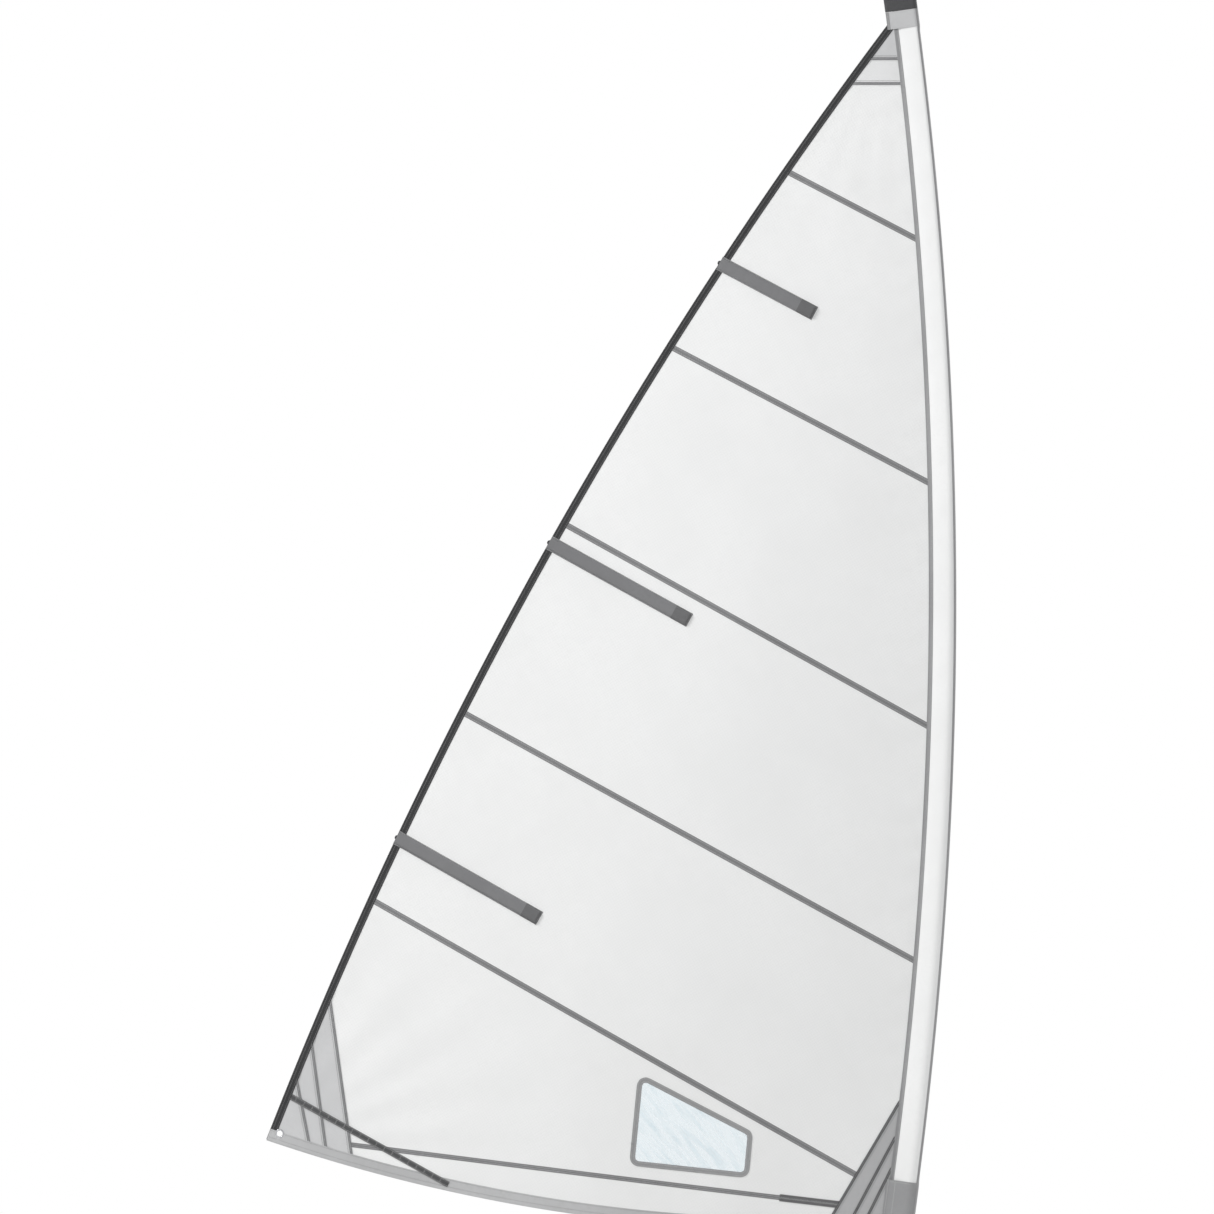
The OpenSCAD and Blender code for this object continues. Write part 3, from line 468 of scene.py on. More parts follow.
def filled(sides, holes, step):
    """Points and triangles that fill an outline, given as lines that join end to end."""
    outline = np.concatenate([resampled(side, step)[:-1] for side in sides])
    loops = [outline, *holes]
    rim = np.concatenate(loops)
    low, high = outline.min(0), outline.max(0)
    count = np.maximum(np.ceil((high - low) / step).astype(int), 1)
    xs, zs = np.linspace(low[0], high[0], count[0] + 1), np.linspace(low[1], high[1], count[1] + 1)
    grid = np.stack(np.meshgrid(xs, zs), -1).reshape(-1, 2)
    keep = inside(grid, outline)
    for hole in holes:
        keep &= ~inside(grid, hole)
    grid = grid[keep]
    gap = np.array([np.min(((rim - p) ** 2).sum(1)) for p in grid]) if len(grid) else np.zeros(0)
    points = np.concatenate([rim, grid[gap > (0.55 * step) ** 2]])
    edges, start = [], 0
    for loop in loops:
        n = len(loop)
        edges += [(start + i, start + (i + 1) % n) for i in range(n)]
        start += n
    made = delaunay_2d_cdt([Vector(p) for p in points], edges, [], 0, 1e-9)
    flat = np.array([tuple(v) for v in made[0]])
    triangles = np.array(made[2], np.int64)
    a, b, c = (flat[triangles[:, k]] for k in range(3))
    area = (b[:, 0] - a[:, 0]) * (c[:, 1] - a[:, 1]) - (b[:, 1] - a[:, 1]) * (c[:, 0] - a[:, 0])
    triangles[area < 0] = triangles[area < 0][:, ::-1]
    middle = (a + b + c) / 3
    keep = inside(middle, outline) & (np.abs(area) > 1e-10)
    for hole in holes:
        keep &= ~inside(middle, hole)
    triangles = triangles[keep]
    used, triangles = np.unique(triangles, return_inverse=True)
    return flat[used], triangles.reshape(-1, 3)


def cut_piece(name, sides, lift, thickness, look, holes=(), step=CLOTH_STEP):
    """A flat-cut piece of cloth that lies on the sail."""
    points, faces = filled(sides, holes, step)
    near, far = on_sail(points, lift + thickness / 2), on_sail(points, lift - thickness / 2)
    return shell_piece(name, near, far, faces, look)


def stitches(piece, rows, look, place=on_sail, width=STITCH_W):
    """Sews zigzag rows into a piece: (line, lift) pairs. A negative lift is on the far face."""
    vertices, faces, total = [], [], 0
    for line, lift in rows:
        line = resampled(line, STITCH_PITCH / 2)
        along = unit(np.gradient(line, axis=0))
        zigzag = np.where(np.arange(len(line)) % 2, 0.5, -0.5)[:, None] * width
        ends = line + left(along) * zigzag
        height = lift(ends) if callable(lift) else np.full(len(ends), lift)
        points = place(ends, height)
        out = np.array([0, -1.0 if np.mean(height) > 0 else 1.0, 0])
        middle = (line[:-1] + line[1:]) / 2
        clear = np.ones(len(middle), bool)
        for centre, radius in (CLEW_EYE, TACK_EYE):
            clear &= np.linalg.norm(middle - centre, axis=-1) > radius + 8 * MM
        a, b = points[:-1][clear], points[1:][clear]
        side = unit(np.cross(b - a, out)) * THREAD_R
        middle = (a + b) / 2
        grains = np.stack([a, b, middle - side, middle + side, middle + out * THREAD_R], 1)
        start = total + 5 * np.arange(len(a))[:, None]
        for corners in ((0, 2, 4), (2, 1, 4), (1, 3, 4), (3, 0, 4)):
            faces.append(start + np.array(corners))
        vertices.append(grains.reshape(-1, 3))
        total += 5 * len(a)
    thread = new_piece(piece.name + "_stitches", np.concatenate(vertices),
                       np.concatenate(faces).tolist(), look)
    thread.parent = piece


def sewn_on(piece, node=None):
    """Puts a sheet on the rig, in place of its CAD node if it has one.

    The area of its cut is half of the closed mesh's surface.
    """
    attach(piece, "rig")
    if node:
        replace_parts(piece, node)


# ======================= materials =======================
LOOKS = {}  # name: (material, slot)


def put(owner, kind, settings=None, **inputs):
    """A new node in the owner's tree. The owner is a tree or one of its sockets.

    An input that is a socket is linked, and i0, i1 name an input by its number.
    """
    tree = owner.id_data
    node = tree.nodes.new("ShaderNode" + kind)
    for key, value in (settings or {}).items():
        setattr(node, key, value)
    for key, value in inputs.items():
        numbered = key[0] == "i" and key[1:].isdigit()
        socket = node.inputs[int(key[1:]) if numbered else key.replace("_", " ")]
        if isinstance(value, bpy.types.NodeSocket):
            tree.links.new(value, socket)
        else:
            socket.default_value = value
    return node


def math_of(operation, a, b):
    return put(a, "Math", {"operation": operation}, i0=a, i1=b).outputs[0]


def times(a, b):
    return math_of("MULTIPLY", a, b)


def plus(a, b):
    return math_of("ADD", a, b)


def mixed(share, a, b):
    """Colour a turning into b. Each is a socket or three numbers."""
    a, b = ((*c, 1.0) if isinstance(c, tuple) else c for c in (a, b))
    return put(share, "Mix", {"data_type": "RGBA"}, i0=share, i6=a, i7=b).outputs[2]


def ramp(value, low, high):
    """0 where the value is at or under low, and 1 where it is at or over high."""
    return put(value, "MapRange", {"interpolation_type": "SMOOTHSTEP"}, i0=value, i1=low, i2=high).outputs[0]


def noise(vector, size, detail=3.0):
    """Noise whose blobs are about that many metres across."""
    return put(vector, "TexNoise", Vector=vector, Scale=1 / size, Detail=detail).outputs[0]


def stretched(vector, scale, detail=2.0):
    """Noise with its own scale along each axis."""
    longer = put(vector, "Mapping", Vector=vector, Scale=scale).outputs[0]
    return noise(longer, 1.0, detail)


def bands(vector, period, axis="X"):
    """A smooth wave from 0 to 1 along one axis, with that period in metres."""
    scale = math.pi / 10 / period
    return put(vector, "TexWave", {"bands_direction": axis}, Vector=vector, Scale=scale).outputs[1]


def scaled(color, factor):
    return tuple(min(1.0, c * factor) for c in color)


def edge_wear(owner):
    """1 on rubbed edges, 0 on flat faces."""
    return ramp(put(owner, "NewGeometry").outputs["Pointiness"], 0.52, 0.60)


def blank(name, color, rough, turn=0, slot=None, **sockets):
    """A material, and object coordinates turned about Y so that X runs along a seam."""
    made = bpy.data.materials.new(name)
    made.use_nodes = True
    made.diffuse_color = (*color, 1.0)
    shader = made.node_tree.nodes["Principled BSDF"]
    shader.inputs["Base Color"].default_value = (*color, 1.0)
    shader.inputs["Roughness"].default_value = rough
    for key, value in sockets.items():
        shader.inputs[key.replace("_", " ")].default_value = value
    where = put(made.node_tree, "TexCoord").outputs["Object"]
    if turn:
        where = put(where, "Mapping", Vector=where, Rotation=(0, math.radians(turn), 0)).outputs[0]
    LOOKS[name] = (made, slot or name)
    return made, where


def finish(made, height=None, relief=0.0, **links):
    """Links sockets to a material's shader and gives it its relief."""
    tree = made.node_tree
    if height:
        links["Normal"] = put(tree, "Bump", Height=height, Distance=relief, Strength=1.0).outputs[0]
    for key, socket in links.items():
        tree.links.new(socket, tree.nodes["Principled BSDF"].inputs[key.replace("_", " ")])


def cloth(name, color, rough=0.75, thread=0.9 * MM, turn=CHORD_RISE, grid=0.0, ribs=0.0,
          soil=0.06, relief=0.16 * MM, slot=None):
    """Woven cloth: two sets of threads, a ripstop grid or ribs, faint soiling and uneven dye, and painted
    shade in the hollows between the threads.
    """
    made, where = blank(name, color, rough, turn, slot, Sheen_Weight=0.25, Sheen_Roughness=0.4)
    weave = math_of("MAXIMUM", bands(where, thread), bands(where, thread, "Z"))
    uneven = noise(where, 0.35, 5.0)
    fine = noise(where, 0.012, 2.0)
    tone = mixed(ramp(uneven, 0.35, 0.70), color, scaled(color, 1 - soil))
    tone = mixed(ramp(fine, 0.45, 0.75), tone, scaled(color, 1 - 0.6 * soil))
    # Painted shade: the colour darkens towards 0.72 of itself in the low hollows between the threads, where
    # the weave's height is least.
    tone = mixed(plus(times(weave, -0.25), 0.25), tone, scaled(color, 0.72))
    height = weave
    if grid:
        lines = math_of("MAXIMUM", ramp(bands(where, grid), 0.93, 1.0),
                        ramp(bands(where, grid, "Z"), 0.93, 1.0))
        tone = mixed(times(lines, 0.35), tone, scaled(color, 0.84))
        height = plus(height, times(lines, 1.5))
    if ribs:
        rib = bands(where, ribs)
        tone = mixed(times(rib, 0.35), tone, scaled(color, 0.6))
        height = plus(height, times(rib, 2.0))
    worn = plus(times(uneven, 0.16), rough - 0.08)
    finish(made, height, relief, Base_Color=tone, Roughness=worn)


def metal(name, color, rough, brushed=None, cast=0.0):
    """Metal: brushed along one axis or cast with a grain, brighter where its edges are rubbed."""
    made, where = blank(name, color, rough, Metallic=1.0)
    stain = noise(where, 0.02, 4.0)
    if brushed:
        grain = stretched(where, tuple(40.0 if axis in brushed else 1500.0 for axis in "XYZ"))
    else:
        grain = noise(where, 1.1 * MM)
    tone = mixed(ramp(stain, 0.35, 0.75), color, scaled(color, 0.78))
    tone = mixed(times(grain, 0.3), tone, scaled(color, 0.7))
    tone = mixed(edge_wear(where), tone, scaled(color, 1.5))
    dull = plus(times(stain, 0.2), rough - 0.08)
    finish(made, grain, 0.02 * MM if brushed else cast, Base_Color=tone, Roughness=dull)


def plastic(name, color, rough, grain=0.05 * MM, wear=1.8):
    """Moulded plastic or rubber with a fine grain, scuffs, and paler rubbed edges."""
    made, where = blank(name, color, rough)
    pebble = noise(where, 0.7 * MM, 2.0)
    scuff = noise(where, 0.015, 6.0)
    rubbed = tuple(min(1.0, c * wear + 0.02) for c in color)
    tone = mixed(ramp(scuff, 0.52, 0.72), color, rubbed)
    tone = mixed(edge_wear(where), tone, rubbed)
    dull = plus(times(ramp(scuff, 0.45, 0.7), 0.18), rough)
    finish(made, pebble, grain, Base_Color=tone, Roughness=dull)


def fibre(name, color, rough, along, period=2.2 * MM):
    """Resin over fibres that run along one axis, with a crossing wrap under the gloss."""
    made, where = blank(name, color, rough, along, Coat_Weight=0.6, Coat_Roughness=0.12)
    strands = stretched(where, (12.0, 900.0, 900.0), 3.0)
    wraps = bands(where, period)
    tone = mixed(ramp(strands, 0.35, 0.65), color, scaled(color, 0.62))
    tone = mixed(times(wraps, 0.22), tone, scaled(color, 1.3))
    finish(made, plus(strands, wraps), 0.04 * MM, Base_Color=tone)


def film(name, color):
    """Clear window film with faint creases from rolling."""
    made, where = blank(name, color, 0.08, -50, IOR=1.45, Coat_Weight=0.5)
    longer = put(where, "Mapping", Vector=where, Scale=(1.0, 1.0, 7.0)).outputs[0]
    crease = noise(longer, 0.11)
    haze = plus(times(ramp(crease, 0.45, 0.8), 0.25), 0.05)
    finish(made, crease, 2.0 * MM, Roughness=haze, Alpha=plus(haze, 0.26))


WOVEN = dict(rough=0.85, turn=0, relief=0.5 * MM)
PATCH = dict(rough=0.6, turn=-35, grid=0.008, slot="patch_cloth")
THREAD = dict(rough=0.6, thread=0.4 * MM, soil=0.1, slot="seam_tape")
cloth("sailcloth", (0.89, 0.89, 0.885), 0.5, grid=0.010, soil=0.035)
cloth("sleeve_cloth", (0.87, 0.87, 0.865), 0.8, turn=45, soil=0.04)
cloth("seam_tape", (0.23, 0.23, 0.235), ribs=3 * MM, soil=0.15)
cloth("edge_line", (0.34, 0.34, 0.345), turn=90, ribs=3 * MM, soil=0.15, slot="seam_tape")
cloth("reinforcement", (0.34, 0.34, 0.345), thread=2.2 * MM, soil=0.15, **WOVEN)
cloth("pale_reinforcement", (0.58, 0.58, 0.585), thread=2.2 * MM, soil=0.12, slot="reinforcement", **WOVEN)
cloth("black_webbing", (0.085, 0.085, 0.088), thread=1.6 * MM, ribs=4 * MM, soil=0.2, **WOVEN)
cloth("leech_tape", (0.032, 0.032, 0.034), 0.7, 1.0 * MM, 61, ribs=3 * MM, soil=0.2, relief=0.3 * MM)
cloth("foot_tape", (0.60, 0.60, 0.605), 0.75, 1.0 * MM, 0, ribs=4 * MM, soil=0.12, relief=0.3 * MM)
cloth("patch_cloth", (0.61, 0.61, 0.615), soil=0.06, **PATCH)
cloth("pale_patch", (0.80, 0.80, 0.80), soil=0.06, **PATCH)
cloth("grey_patch", (0.47, 0.47, 0.475), soil=0.08, **PATCH)
cloth("grey_webbing", (0.10, 0.10, 0.103), 0.85, 1.5 * MM, -25, ribs=5 * MM, soil=0.2, relief=0.5 * MM)
cloth("pocket_cloth", (0.20, 0.20, 0.205), 0.75, 1.1 * MM, soil=0.12)
cloth("pocket_end", (0.15, 0.15, 0.153), 0.8, 1.6 * MM, ribs=4 * MM, soil=0.15, slot="pocket_cloth")
cloth("grey_thread", (0.26, 0.26, 0.26), **THREAD)
cloth("pale_thread", (0.62, 0.62, 0.62), **THREAD)
cloth("dark_thread", (0.10, 0.10, 0.10), **THREAD)
film("window_film", (0.70, 0.81, 0.86))
fibre("batten_fibreglass", (0.62, 0.56, 0.33), 0.3, CHORD_RISE)
fibre("mast_epoxy", (0.56, 0.47, 0.22), 0.28, 90, 9 * MM)
fibre("ferrule", (0.06, 0.06, 0.062), 0.35, 90, 5 * MM)
metal("grommet_metal", (0.66, 0.66, 0.68), 0.24, brushed="Y")
metal("cast_aluminium", (0.40, 0.41, 0.43), 0.42, cast=0.10 * MM)
metal("steel", (0.62, 0.62, 0.64), 0.22, brushed="Y")
metal("brass", (0.72, 0.50, 0.20), 0.3, brushed="X")
plastic("black_plastic", (0.028, 0.028, 0.03), 0.42)
plastic("white_plastic", (0.80, 0.80, 0.77), 0.35, wear=0.85)
plastic("red_plastic", (0.56, 0.03, 0.02), 0.35, wear=1.3)
plastic("rubber_pad", (0.055, 0.055, 0.058), 0.8, 0.25 * MM, 1.6)


def floor_material():
    made, where = blank("floor", (0.66, 0.66, 0.65), 0.9)
    tone = mixed(noise(where, 0.9, 4.0), (0.64, 0.64, 0.63), (0.70, 0.70, 0.695))
    finish(made, Base_Color=tone)
    return made


# ======================= camera, lights, floor =======================
def make_camera():
    camera = add(bpy.data.objects.new("camera", bpy.data.cameras.new("camera")))
    camera.data.lens = LENS_MM
    camera.data.sensor_width = SENSOR_MM
    camera.data.clip_start = 1
    camera.data.clip_end = 500
    camera.location = (VIEW_CENTRE[0], -VIEW_WIDTH * LENS_MM / SENSOR_MM, VIEW_CENTRE[1])
    camera.rotation_euler = (math.pi / 2, 0, 0)
    bpy.context.scene.camera = camera


def make_light(name, place, watts, size):
    """A square area light aimed at the middle of the sail."""
    lamp = bpy.data.lights.new(name, "AREA")
    lamp.energy = watts
    lamp.size = size
    light = add(bpy.data.objects.new(name, lamp))
    light.location = place
    light.rotation_euler = (Vector(LIGHT_AIM) - Vector(place)).to_track_quat("-Z", "Y").to_euler()


def make_studio():
    make_light("key", (-7.5, -3.6, 7.5), 590, 2.4)
    make_light("fill", (5.5, -7.0, 4.0), 110, 4.5)
    make_light("back_key", (5.0, 5.5, 7.0), 420, 3.5)
    make_light("back_fill", (-6.5, 6.0, 3.0), 115, 4.5)
    world = bpy.data.worlds.new("studio")
    world.use_nodes = True
    tree = world.node_tree
    soft = tree.nodes["Background"]
    soft.inputs["Strength"].default_value = WORLD_LIGHT
    seen = put(tree, "Background", Color=(1, 1, 1, 1), Strength=1.0)
    seen_first = put(tree, "LightPath").outputs["Is Camera Ray"]
    soft.inputs["Color"].default_value = (0.98, 0.99, 1.0, 1.0)
    both = put(tree, "MixShader", i0=seen_first, i1=soft.outputs[0], i2=seen.outputs[0])
    tree.links.new(both.outputs[0], tree.nodes["World Output"].inputs["Surface"])
    bpy.context.scene.world = world
    bpy.context.scene.view_settings.view_transform = "Standard"


def make_floor():
    rim = circle((-0.6, 0.0), FLOOR_RADIUS, 128)
    z = cad_low.z - 2 * MM
    points = [(x, y, z) for x, y in rim]
    floor = add(bpy.data.objects.new("floor", bpy.data.meshes.new("floor")))
    floor.data.from_pydata(points, [], [list(range(len(points)))])
    floor.data.materials.append(floor_material())


make_camera()
make_studio()
make_floor()


# ======================= corner patches =======================
FOOT_SPAN = foot.span
LEECH_SPAN = leech.span


def foot_cut(inset, depth):
    """The foot arc's t, near the tack, where it is that depth behind the sleeve's front."""
    t = np.linspace(0.0, 0.2, 2001)
    ahead = LUFF_R - np.linalg.norm(foot.at(t, inset) - LUFF_C, axis=-1)
    return float(np.interp(depth, ahead, t))


def corner_of(leech_in, foot_in):
    """Where two lines, inset from the leech and from the foot, cross at the clew."""
    t = np.linspace(0.85, 1.01, 2001)
    p = foot.at(t, foot_in)
    over = leech.inset_of(p)
    return p[np.argmin(np.abs(over - leech_in))]


INNER_CLEW = corner_of(LEECH_TAPE_W + MM, FOOT_TAPE_W + MM)
CLEW_CORNER = corner_of(EDGE_IN, EDGE_IN)
TACK_T = foot_cut(FOOT_TAPE_W + MM, SLEEVE_FOOT_W + MM)
TACK_S = float(luff_s(foot.at(TACK_T, FOOT_TAPE_W + MM)))


def clew_patch(up, along):
    """Outline of a clew patch, from the leech edge to the foot edge, and its inner edge."""
    top = leech.at(leech.t_of(INNER_CLEW) + up / LEECH_SPAN, LEECH_TAPE_W + MM)
    end = foot.at(foot.t_of(INNER_CLEW) - along / FOOT_SPAN, FOOT_TAPE_W + MM)
    d = unit(top - end)
    top = top + d * reach(top, d, leech.centre, LEECH_R - EDGE_IN)
    end = end - d * reach(end, -d, foot.centre, FOOT_R - EDGE_IN)
    sides = [leech_line(CLEW_CORNER, top), np.array([top, end]), foot_line(end, CLEW_CORNER)]
    return sides, np.array([top, end])


def tack_patch(up, along):
    top = luff_end(TACK_S + up)
    end = foot.at(TACK_T + along / FOOT_SPAN, FOOT_TAPE_W + MM)
    d = unit(top - end)
    end = end - d * reach(end, -d, foot.centre, FOOT_R - EDGE_IN)
    start = foot.at(foot_cut(EDGE_IN, SLEEVE_FOOT_W + MM), EDGE_IN)
    sides = [foot_line(start, end), np.array([end, top]), luff_line(top, start, MM)]
    return sides, np.array([end, top])


def head_patch(z):
    s_values = np.linspace(4.0, 4.6, 400)
    low, high = (seam_line(float(np.interp(level, luff_end(s_values)[:, 1], s_values)), 0, tuck=0)
                 for level in (z, HEAD_TOP_Z))
    sides = [low, leech_line(low[1], high[1]), high[::-1], luff_line(high[0], low[0], MM)]
    return sides, low


PATCHES = {}  # name: ((outline, inner edge), layer, corner, eye)
for layer, size in enumerate(("large", "middle", "small"), 1):
    outline = clew_patch(*CLEW_PATCHES[size])
    PATCHES["clew_patch_" + size] = (outline, layer, CLEW, CLEW_EYE)
for layer, size in enumerate(("large", "middle", "small"), 1):
    outline = tack_patch(*TACK_PATCHES[size])
    PATCHES["tack_patch_" + size] = (outline, layer, TACK, TACK_EYE)
for layer, (size, z) in enumerate(HEAD_PATCHES.items(), 1):
    PATCHES["head_patch_" + size] = (head_patch(z), layer, HEAD, None)


def stack(p):
    """Height of the patches on the near face, with a ramp before each patch's edge."""
    height = np.zeros(p.shape[:-1])
    for (_, edge), _, corner, _ in PATCHES.values():
        side = left(unit(edge[1] - edge[0]))
        inward = np.sign((corner - edge[0]) @ side)
        height = height + smooth((p - edge[0]) @ side * inward / STEP_RAMP + 1)
    near_corner = np.minimum.reduce([np.linalg.norm(p - c, axis=-1) for c in (CLEW, TACK, HEAD)])
    return np.where(near_corner < 0.75, height, 0) * PATCH_PITCH


def trimmed(line):
    """The part of a line that the edge tapes and the sleeve leave in sight."""
    line = resampled(line, 2 * MM)
    seen = leech.inset_of(line) > LEECH_TAPE_W - 4 * MM
    seen &= foot.inset_of(line) > FOOT_TAPE_W - 4 * MM
    seen &= LUFF_R - np.linalg.norm(line - LUFF_C, axis=-1) > sleeve_w(luff_s(line)) + 4 * MM
    return line[seen]


PATCH_SHADES = {"tack": "grey_patch", "head_patch_large": "pale_patch"}


def make_patches():
    for name, ((sides, edge), layer, _, eye) in PATCHES.items():
        holes = [circle(eye[0], eye[1] + EYE_MARGIN)] if eye else []
        lift = PATCH_PITCH * layer - PATCH_T / 2 + CLOTH_T / 2
        shade = PATCH_SHADES.get(name, PATCH_SHADES.get(name[:4], "patch_cloth"))
        piece = cut_piece(name + "_cloth", sides, lift, PATCH_T, shade, holes, 0.011)
        inward = left(unit(edge[1] - edge[0]))
        inward *= np.sign((np.concatenate(sides).mean(0) - edge[0]) @ inward)
        surface = lift + PATCH_T / 2
        stitches(piece, [(trimmed(edge + inward * PATCH_SEWN_IN), surface + POKE)], "dark_thread")
        tape = "grey_webbing" if shade == "grey_patch" else "seam_tape"
        run = trimmed(edge + inward * PATCH_EDGE_W / 2)
        bound = strip_piece(name + "_edge", run, PATCH_EDGE_W, surface + 0.2 * MM, 0.9 * MM, tape)
        stitches(bound, [(run, surface + POKE + 0.6 * MM)], "pale_thread")
        sewn_on(bound)
        sewn_on(piece, name)


# ======================= panels and seams =======================
def foot_seam_start():
    """Where the foot seam, going aft, meets the foot tape."""
    line = resampled(seam_line(*FOOT_SEAM), 0.004)
    clear = foot.inset_of(line) > FOOT_TAPE_W - 2 * MM
    return line[clear & (line[:, 0] > CLEW[0])][-1]


def make_panels():
    lines = {name: seam_line(*seam) for name, seam in SEAMS.items()}
    top = PATCHES["head_patch_small"][0][0][2]
    lines["top"] = np.array([top[1] + [TUCK, 0], top[0]])
    order = (("window", "lower", "lower_panel"), ("lower", "middle", "lower_middle_panel"),
             ("middle", "upper", "upper_middle_panel"), ("upper", "head", "upper_panel"),
             ("head", "top", "head_panel"))
    outlines = {}
    for low, high, name in order:
        a, b = lines[low], lines[high]
        outlines[name] = [a, leech_line(a[1], b[1]), b[::-1], luff_line(b[0], a[0])]
    seam = seam_line(*FOOT_SEAM)[0]
    meets = foot_seam_start()
    below = foot.at(foot.t_of(meets), EDGE_IN)
    high = lines["window"]
    outlines["window_panel"] = [
        np.array([seam, meets]), np.array([meets, below]), foot_line(below, CLEW_CORNER),
        leech_line(CLEW_CORNER, high[1]), high[::-1], luff_line(high[0], seam)]
    front = foot.at(foot_cut(EDGE_IN, SLEEVE_FOOT_W + MM), EDGE_IN)
    under = luff_end(SLEEVE_FOOT_S + 6 * MM)
    tucked = luff_end(SLEEVE_FOOT_S + 6 * MM, -TUCK)
    outlines["foot_panel"] = [
        foot_line(below, front), luff_line(front, under, MM), np.array([under, tucked]),
        luff_line(tucked, seam), np.array([seam, meets]), np.array([meets, below])]
    window = rounded_window(0)
    holes = {"window_panel": [window, circle(CLEW_EYE[0], CLEW_EYE[1] + EYE_MARGIN)],
             "foot_panel": [circle(TACK_EYE[0], TACK_EYE[1] + EYE_MARGIN)]}
    for name, sides in outlines.items():
        piece = cut_piece(name + "_cloth", sides, 0.0, CLOTH_T, "sailcloth", holes.get(name, ()))
        sewn_on(piece, name)


def strip_piece(name, line, width, lift, thickness, look):
    """A straight strip on the sail as a grid: rows along it, columns across."""
    line = resampled(line, 0.01)
    side = left(unit(np.gradient(line, axis=0)))
    across = np.linspace(0.5, -0.5, STRIP_COLUMNS) * width
    p = line[:, None] + side[:, None] * across[None, :, None]
    height = lift(p) if callable(lift) else lift
    return grid_piece(name, facing(on_sail(p, height)), thickness, look)


def make_seams():
    lines = {name: seam_line(*seam, tuck=0, edge_in=LEECH_TAPE_W - MM) for name, seam in SEAMS.items()}
    lines["foot"] = np.array([luff_end(FOOT_SEAM[0]), foot_seam_start()])
    for name, line in lines.items():
        width = SEAM_W if name != "foot" else 0.8 * SEAM_W
        side = left(unit(line[1] - line[0])) * (width / 2 - 5 * MM)
        piece = strip_piece("seam_" + name, line, width, 0.0, 1.5 * MM, "seam_tape")
        rows = [(row, lift) for row in (line + side, line - side) for lift in (0.85 * MM, -0.85 * MM)]
        stitches(piece, rows, "pale_thread")
        sewn_on(piece)
    aft = unit(lines["foot"][1] - lines["foot"][0])
    line = np.array([lines["foot"][0], lines["foot"][0] + aft * FOOT_DOUBLER])
    piece = strip_piece("seam_foot_doubler", line, DOUBLER_W, 1.2 * MM, 0.8 * MM, "pocket_end")
    stitches(piece, [(line, 1.7 * MM)], "pale_thread", width=9 * MM)
    sewn_on(piece)


# ======================= window =======================
def rounded_window(grow):
    """The window's outline with rounded corners, grown outward."""
    corners = np.array(WINDOW)
    loop = []
    for i, corner in enumerate(corners):
        before, after = unit(corners[i - 1] - corner), unit(corners[(i + 1) % 4] - corner)
        half = math.acos(before @ after) / 2
        centre = corner + unit(before + after) * WINDOW_CORNER_R / math.sin(half)
        start, end = (corner + way * WINDOW_CORNER_R / math.tan(half) - centre for way in (before, after))
        a, b = math.atan2(start[1], start[0]), math.atan2(end[1], end[0])
        turn = (b - a + math.pi) % (2 * math.pi) - math.pi
        angles = a + turn * np.linspace(0, 1, 9)
        loop.append(centre + (WINDOW_CORNER_R + grow) * np.stack([np.cos(angles), np.sin(angles)], 1))
    return resampled(closed(np.concatenate(loop)), 0.012)[:-1]


def make_window():
    outline = [closed(rounded_window(WINDOW_LAP))]
    clear = cut_piece("window_film_sheet", outline, 0.55 * MM, 0.4 * MM, "window_film", step=0.016)
    sewn_on(clear, "window_film")
    ring = [closed(rounded_window(WINDOW_TAPE_W))]
    tape = cut_piece("window_tape_cloth", ring, 1.2 * MM, 0.8 * MM, "edge_line",
                     [rounded_window(-0.001)], 0.008)
    loops = [closed(rounded_window(grow)) for grow in WINDOW_SEWN]
    stitches(tape, [(loop, 1.65 * MM) for loop in loops] + [(loops[1], -0.35 * MM)],
             "pale_thread", width=4 * MM)
    sewn_on(tape, "window_tape")


# ======================= folded edge tapes =======================
def over_tape(p, arc, width):
    """How far a piece is raised where it crosses an edge tape."""
    return OVERLAP * smooth((width + OVERLAP_RAMP - arc.inset_of(p)) / OVERLAP_RAMP)


def over_leech_tape(p):
    return over_tape(p, leech, LEECH_TAPE_W)


def folded_tape(node, arc, t0, t1, width, eyes, extra):
    """A tape folded round an edge, over the patches. t0 and t1 give its ends at an inset."""
    rows = round((t1(0.0) - t0(0.0)) * arc.span / 0.015)
    share = np.linspace(0, 1, rows + 1)[:, None]
    flap = np.array([width, 0.75 * width, 0.45 * width, 0.2 * width, 3 * MM])
    inset = np.concatenate([flap, [0.6 * MM, 0, 0.6 * MM], flap[::-1]])
    face = np.concatenate([np.ones(len(flap)), [0.8, 0, -0.8], -np.ones(len(flap))])
    starts, ends = np.array([t0(i) for i in inset]), np.array([t1(i) for i in inset])
    p = arc.at(starts + (ends - starts) * share, inset[None] + 0 * share)
    lift = TAPE_LIFT + extra(p)
    rolled = np.where(face > 0, face * (lift + stack(p)), face * lift)
    rolled[:, len(flap) + 1] = stack(p)[:, len(flap) + 1] / 2
    piece = grid_piece(node + "_fold", facing(on_sail(p, rolled)), TAPE_T, node)
    for centre, radius in eyes:
        drill(piece, centre, radius + EYE_MARGIN)
    over = lambda q: TAPE_LIFT + extra(q) + stack(q) + TAPE_T / 2 + 0.1 * MM
    under = lambda q: -TAPE_LIFT - extra(q) - TAPE_T / 2 - 0.1 * MM
    sewn = [arc.at(np.linspace(t0(d), t1(d), 300), d) for d in (width - 5 * MM, width / 3)]
    stitches(piece, [(line, lift) for line in sewn for lift in (over, under)], "grey_thread")
    length = (t1(0.0) - t0(0.0)) * 2 * arc.half * arc.radius
    sewn_on(piece, node)


